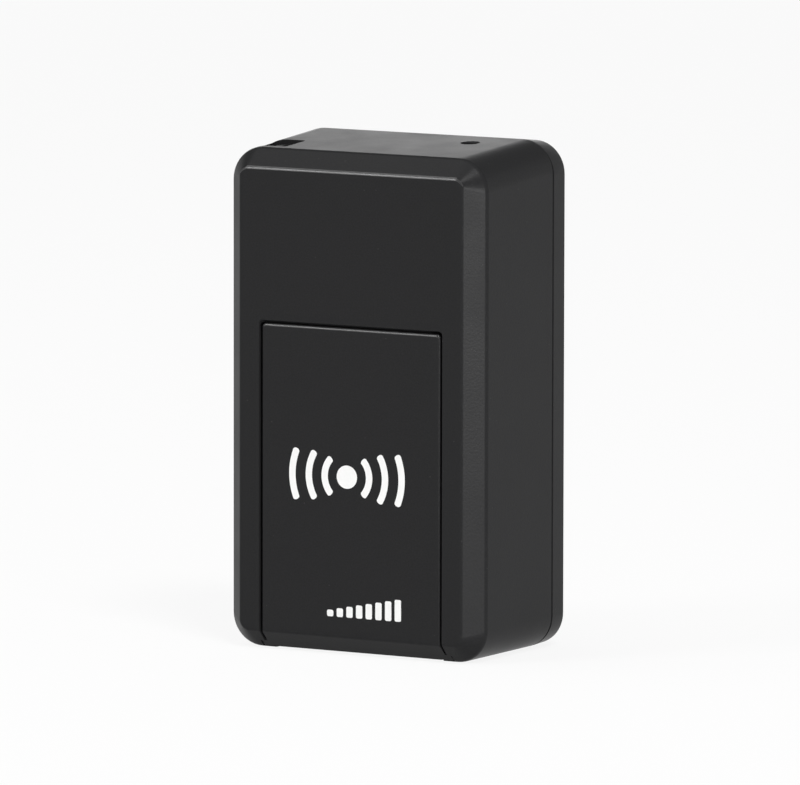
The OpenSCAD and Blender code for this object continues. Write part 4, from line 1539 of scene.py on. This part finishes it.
@dataclass
class Board(Assembly):
    """The main board with its tracks, chips, shield, aerial, timing can, lamps and small parts."""

    depths: tuple[float, float] = (4.0, 4.8)
    radius: float = 1.2
    screw: tuple[float, float, float] = (7.6, 3.4, 0.7)
    pin: tuple[float, float, float] = (7.6, 22.9, 0.5)
    track_w: float = 0.22
    lift: float = 0.02
    ring_wide: float = 0.5
    points_x: tuple[float, ...] = (-2.4, -1.2, 0.0, 1.2, 2.4)
    points_z: float = 4.0
    points_radius: float = 0.35
    chip_stand: float = 0.06
    chip_inset: float = 0.04
    chip_edge: float = 0.07
    chip_dot: tuple[float, float, float] = (0.6, 0.22, 0.04)
    pad_pitch: float = 0.55
    pad_half: float = 0.13
    pad_reach: float = 0.3
    sheet: float = 0.15
    shield_round: float = 0.5
    shield_edge: float = 0.16
    vent_radius: float = 0.26
    vents_low: tuple[float, float] = (-3.6, 8.2)
    vents_pitch: float = 1.8
    vents_count: tuple[int, int] = (5, 6)
    clip_z: tuple[float, float, int] = (2.2, 3.2, 4)
    clip_half: float = 0.45
    clip_deep: float = 0.25
    aerial_end: float = 0.5
    core_back: tuple[float, float] = (0.05, 0.03)
    core_edge: float = 0.06
    metal_edge: float = 0.05
    winding_turns: int = 9
    winding_half: float = 0.1
    winding_margin: float = 0.5
    winding_depths: tuple[float, float] = (0.01, 0.06)
    can_lip: float = 0.32
    tray_round: float = 0.2
    rim: tuple[float, float, float] = (0.25, 0.05, 0.06)
    cup: tuple[float, float, float] = (0.4, 0.22, 0.12)
    cup_lap: float = 0.1
    cap_long: float = 0.22
    cap_edge: float = 0.035
    lamp_tray_round: float = 0.08
    lens_rings: tuple[tuple[float, float], ...] = ((0.14, 0.2), (0.18, 0.11), (0.15, 0.06))
    lens_dome: float = 0.06
    front_tracks: tuple[tuple[tuple[float, float], ...], ...] = (
        ((-0.38, 28.2), (2.2, 28.2), (2.2, 29.16)),
        ((-4.78, 26.4), (-6.3, 26.4), (-6.3, 24.6)),
        ((-4.4, 28.91), (-4.4, 30.2)),
        ((5.8, 25.6), (7.6, 25.6), (7.6, 27.1)),
        ((5.8, 26.6), (6.6, 26.6), (6.6, 29.4), (5.9, 29.4)),
        ((0.9, 27.49), (0.9, 29.16)),
        ((-7.9, 24.6), (-7.9, 30.6), (-5.2, 30.6)),
    )
    back_tracks: tuple[tuple[tuple[float, float], ...], ...] = (
        ((-6.9, 6.0), (-6.9, 21.0), (-4.0, 21.0)),
        ((-7.4, 5.6), (-7.4, 21.8), (-1.0, 21.8)),
        ((6.9, 6.0), (6.9, 21.0), (4.0, 21.0)),
        ((7.4, 5.6), (7.4, 21.8), (1.4, 21.8), (1.4, 24.9)),
        ((-2.8, 19.9), (-2.8, 23.4), (-3.6, 23.4)),
        ((2.8, 19.9), (2.8, 28.4), (4.2, 28.4)),
    )

    def build(self) -> None:
        """Build and dress the board and all that sits on it."""
        self._plate()
        self._tracks()
        for name, facing in (
            ("modem_chip", Facing.BACK), ("flash_chip", Facing.FRONT), ("power_chip", Facing.FRONT),
        ):
            self._chip(name, facing)
        self._shield()
        self._aerial()
        self._timing_can()
        self._small_parts()
        self._lamps()
        self.keep("board_screws", Slot.NICKEL)

    def _plate(self) -> None:
        """Cut the bare board with its screw and pin holes."""
        front, back = self.depths
        plate = Solid().plate(self.room("main_board").outline(self.radius), front, back, 8)
        holes = Solid()
        for x, z, radius in (self.screw, self.pin):
            for side in (-1, 1):
                holes.rod((side * x, front - OVER, z), Along.Y, back - front + 2 * OVER, radius)
        plate.mix(holes, Mix.CUT)
        self.add(plate, "board_plate", Slot.BOARD, replaces=("main_board",))

    def _tracks(self) -> None:
        """Lay the copper runs under the mask, and the bare gold rings and test points."""
        front, back = self.depths
        runs = Solid()
        for depth, lines in ((front - self.lift, self.front_tracks), (back, self.back_tracks)):
            for line in lines:
                for (x0, z0), (x1, z1) in zip(line, line[1:]):
                    half = self.track_w / 2
                    rise = half if z0 == z1 else -half
                    low = (min(x0, x1) - half, depth, min(z0, z1) - rise)
                    runs.block(low, (max(x0, x1) + half, depth + self.lift, max(z0, z1) + rise))
        runs.finish("board_tracks", [self.finishes.runs], Rider.BODY, Slot.BOARD, ())
        rings, bores = Solid(), Solid()
        x, z, radius = self.screw
        for side in (-1, 1):
            rings.rod((side * x, back, z), Along.Y, self.lift, radius + self.ring_wide)
            bores.rod((side * x, back - OVER, z), Along.Y, 3 * OVER, radius)
        rings.mix(bores, Mix.CUT)
        for x in self.points_x:
            rings.rod((x, back, self.points_z), Along.Y, self.lift, self.points_radius, sides=24)
        self.add(rings, "board_gold_points", Slot.GOLD)

    def _chip(self, name: str, facing: Facing) -> None:
        """Build a moulded package with a corner dot, and the solder pads along its sides.

        Args:
            name: the CAD node that it stands for.
            facing: the side of the board that it sits on.
        """
        room = self.room(name)
        low, high, inset = room.low, room.high, self.chip_inset
        base, face = (high.y, low.y) if facing is Facing.FRONT else (low.y, high.y)
        lifted = base + facing.value * self.chip_stand
        near, far = sorted((lifted, face))
        body = Solid().block((low.x + inset, near, low.z + inset), (high.x - inset, far, high.z - inset))
        body.soften(self.chip_edge, lambda co: abs(co.y - face) < NEAR, 2)
        corner, radius, deep = self.chip_dot
        dot = (low.x + corner, face - deep, high.z - corner)
        body.mix(Solid().rod(dot, Along.Y, 2 * deep, radius, sides=24), Mix.CUT)
        self.add(body, name + "_body", Slot.EPOXY, replaces=(name,))
        pads = Solid()
        near, far = sorted((base, lifted))
        half, reach = self.pad_half, self.pad_reach
        for start, end, flat in ((low.x, high.x, True), (low.z, high.z, False)):
            count = int((end - start - 2 * reach) / self.pad_pitch)
            edges = (low.z, high.z - reach) if flat else (low.x, high.x - reach)
            for k in range(count + 1):
                at = (start + end) / 2 + (k - count / 2) * self.pad_pitch
                for edge in edges:
                    if flat:
                        pads.block((at - half, near, edge), (at + half, far, edge + reach))
                    else:
                        pads.block((edge, near, at - half), (edge + reach, far, at + half))
        self.add(pads, name + "_pads", Slot.STEEL)

    def _shield(self) -> None:
        """Press the shield over the modem, with vent holes and clip slots."""
        room, sheet = self.room("shield_can"), self.sheet
        low, high = room.low, room.high
        can = Solid().plate(room.outline(self.shield_round), low.y, high.y)
        can.soften(self.shield_edge, lambda co: co.y > high.y - NEAR)
        hollow = room.outline(self.shield_round - sheet, sheet)
        can.mix(Solid().plate(hollow, low.y - OVER, high.y - sheet), Mix.CUT)
        holes = Solid()
        (left, bottom), pitch = self.vents_low, self.vents_pitch
        columns, rows = self.vents_count
        for column in range(columns):
            for row in range(rows):
                place = (left + pitch * column, high.y - 3 * sheet, bottom + pitch * row)
                holes.rod(place, Along.Y, 6 * sheet, self.vent_radius, sides=20)
        first, pitch, count = self.clip_z
        for row in range(count):
            z, half = low.z + first + pitch * row, self.clip_half
            far = (high.x + OVER, low.y + self.clip_deep, z + half)
            holes.block((low.x - OVER, low.y - OVER, z - half), far)
        can.mix(holes, Mix.CUT)
        self.add(can, "modem_shield", Slot.STEEL, replaces=("shield_can",))

    def _aerial(self) -> None:
        """Build the ceramic aerial with plated ends and a printed winding line."""
        room, end = self.room("antenna"), self.aerial_end
        low, high = room.low, room.high
        side, back = self.core_back
        start = (low.x + side, low.y + back, low.z + back)
        core = Solid().block(start, (high.x - side, high.y, high.z - back))
        core.soften(self.core_edge, segments=2)
        self.add(core, "aerial_core", Slot.CERAMIC, replaces=("antenna",))
        metal = Solid().block(low, (low.x + end, high.y, high.z)).block((high.x - end, low.y, low.z), high)
        metal.soften(self.metal_edge, segments=2)
        count, half, margin = self.winding_turns, self.winding_half, self.winding_margin
        z0, z1 = low.z + margin, high.z - margin
        near, far = (low.y + depth for depth in self.winding_depths)
        pitch = (high.x - low.x - 2 * (end + margin)) / (count - 1)
        for k in range(count):
            x = low.x + end + margin + k * pitch
            metal.block((x - half, near, z0), (x + half, far, z1))
            if k < count - 1:
                z = z1 if k % 2 else z0
                metal.block((x + half, near, z - half), (x + pitch - half, far, z + half))
        self.add(metal, "aerial_metal", Slot.STEEL)

    def _timing_can(self) -> None:
        """Build the timing can: a ceramic tray and a drawn metal lid with a lip."""
        room = self.room("crystal")
        low, high = room.low, room.high
        lip = high.y - self.can_lip
        tray = Solid().plate(room.outline(self.tray_round), lip, high.y)
        self.add(tray, "timing_tray", Slot.CERAMIC)
        corner, inset, sheet = self.rim
        lid = Solid().plate(room.outline(corner, inset), lip - sheet, lip)
        corner, inset, edge = self.cup
        cup = Solid().pillow(room.outline(corner, inset), low.y, lip + self.cup_lap, edge, 4)
        lid.mix(cup, Mix.JOIN)
        self.add(lid, "timing_lid", Slot.STEEL, replaces=("crystal",))

    def _small_parts(self) -> None:
        """Build the chip capacitors and resistors, each a body between two tinned caps."""
        bodies, caps = Solid(), Solid()
        for room in spaces(self.nodes["small_parts"]):
            low, high, inset = room.low, room.high, Vector((self.lift,) * 3)
            bodies.block(low + inset, high - inset)
            caps.block(low, (high.x, high.y, low.z + self.cap_long))
            caps.block((low.x, low.y, high.z - self.cap_long), high)
        caps.soften(self.cap_edge, segments=2)
        self.add(bodies, "small_part_bodies", Slot.CERAMIC, replaces=("small_parts",))
        self.add(caps, "small_part_caps", Slot.STEEL)

    def _lamps(self) -> None:
        """Build the status lamps: a tray and a domed resin lens on each."""
        trays, lenses = Solid(), Solid()
        for room in spaces(self.nodes["status_leds"]):
            mid = (room.low.y + room.high.y) / 2
            trays.plate(room.outline(self.lamp_tray_round), mid, room.high.y, 3)
            depths = (room.low.y, room.low.y + self.lens_dome, mid)
            rings = [room.outline(corner, inset) for corner, inset in self.lens_rings]
            lenses.loft(list(zip(depths, rings)), 5)
        self.add(trays, "lamp_trays", Slot.CARD_WHITE)
        self.add(lenses, "lamp_lenses", Slot.LAMP, replaces=("status_leds",))


@dataclass
class PowerPack(Assembly):
    """The pouch cell with its guard board, its leads and its foam pad."""

    pad_round: tuple[float, float] = (0.5, 0.1)
    pouch_round: float = 0.55
    pouch_side: float = 0.08
    pouch_corner: float = 1.1
    seal_back: float = 0.8
    seal_lap: float = 1.0
    seal_end: float = 0.05
    seal_corner: float = 0.15
    seal_half: float = 0.1
    seal_inset: float = 0.9
    wing: float = 0.16
    wing_ends: float = 1.4
    wing_depths: tuple[float, float] = (0.9, 0.7)
    wing_edge: float = 0.05
    tabs_x: tuple[float, float] = (-1.9, 2.6)
    tab_wide: float = 1.2
    tab_depths: tuple[float, float] = (0.14, 0.11)
    tab_lap: float = 0.3
    board_t: float = 0.35
    board_edge: float = 0.06
    switch: tuple[float, float, float] = (1.5, 0.45, 0.4)
    switch_edge: float = 0.05
    mound: tuple[float, float, float] = (8.025, 0.62, 0.4)

    def build(self) -> None:
        """Build and dress the power pack."""
        self._pouch()
        self._guard_board()
        room = self.room("battery_pad")
        corner, edge = self.pad_round
        pad = Solid().pillow(room.outline(corner), room.low.y, room.high.y, edge, 4)
        self.add(pad, "cell_pad", Slot.FOAM, replaces=("battery_pad",))
        self.keep("positive_lead", Slot.RED)
        self.keep("negative_lead", Slot.BLACK)

    def _pouch(self) -> None:
        """Build the pouch with its top seal, folded side wings and two metal tabs."""
        room = self.room("battery_cell")
        low, high = room.low, room.high
        top = high.z - self.seal_back
        mid = (low.y + high.y) / 2
        side = self.pouch_side
        body = Outline(low.x + side, high.x - side, low.z, top, self.pouch_corner)
        pouch = Solid().pillow(body, low.y, high.y, self.pouch_round, 8)
        inset, half, ends = self.seal_inset, self.seal_half, self.wing_ends
        foot, head = top - self.seal_lap, high.z - self.seal_end
        seal = Outline(low.x + inset, high.x - inset, foot, head, self.seal_corner)
        pouch.mix(Solid().plate(seal, mid - half, mid + half), Mix.JOIN)
        wings = Solid()
        near, far = low.y + self.wing_depths[0], high.y - self.wing_depths[1]
        for x in (low.x, high.x - self.wing):
            wings.block((x, near, low.z + ends), (x + self.wing, far, top - ends))
        wings.soften(self.wing_edge, segments=2)
        pouch.mix(wings, Mix.JOIN)
        self.add(pouch, "cell_pouch", Slot.FOIL, replaces=("battery_cell",))
        tabs = Solid()
        near, far = (mid - depth for depth in self.tab_depths)
        for x in self.tabs_x:
            tabs.block((x, near, top - self.tab_lap), (x + self.tab_wide, far, high.z))
        self.add(tabs, "cell_tabs", Slot.NICKEL)

    def _guard_board(self) -> None:
        """Build the guard board with its two switches and the solder mounds of the leads."""
        room = self.room("battery_board")
        low, high = room.low, room.high
        face = low.z + self.board_t
        plate = Solid().block(low, (high.x, high.y, face))
        plate.soften(self.board_edge, segments=2)
        self.add(plate, "guard_plate", Slot.BOARD, replaces=("battery_board",))
        chips = Solid()
        long, inset, side = self.switch
        for x in (low.x + side, high.x - side - long):
            chips.block((x, low.y + inset, face), (x + long, high.y - inset, high.z))
        chips.soften(self.switch_edge, segments=2)
        self.add(chips, "guard_switches", Slot.EPOXY)
        mounds = Solid()
        y, foot, tip = self.mound
        for lead in ("negative_lead", "positive_lead"):
            wire = self.room(lead)
            x = (wire.low.x + wire.high.x) / 2
            mounds.rod((x, y, face), Along.Z, high.z - face, foot, tip, sides=32)
        self.add(mounds, "guard_solder", Slot.STEEL)


@dataclass
class Port(Assembly):
    """The charging port behind the hole in the left side."""

    def build(self) -> None:
        """Dress the port's shell, tongue and contacts."""
        self.keep("usb_shell", Slot.STEEL)
        self.keep("usb_tongue", Slot.INSULATOR)
        self.keep("usb_contacts", Slot.GOLD)


@dataclass
class Microphone(Assembly):
    """The microphone in its rubber boot below the sound hole."""

    def build(self) -> None:
        """Dress the capsule, the boot and the leads."""
        self.keep("mic_capsule", Slot.STEEL)
        self.keep("mic_boot", Slot.RUBBER)
        self.keep("mic_leads", Slot.RED)


def main() -> None:
    """Build the studio and every sub-assembly."""
    logging.basicConfig(level=logging.INFO, format="%(name)s: %(message)s")
    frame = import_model()
    Studio().build()
    finishes = Finishes()
    for kind in (FrontCase, RearCover, CardDoor, CardSlot, Board, PowerPack, Port, Microphone):
        kind(finishes, frame["nodes"]).build()
        LOG.info("%s ready", kind.__name__)


if __name__ == "__main__":
    main()
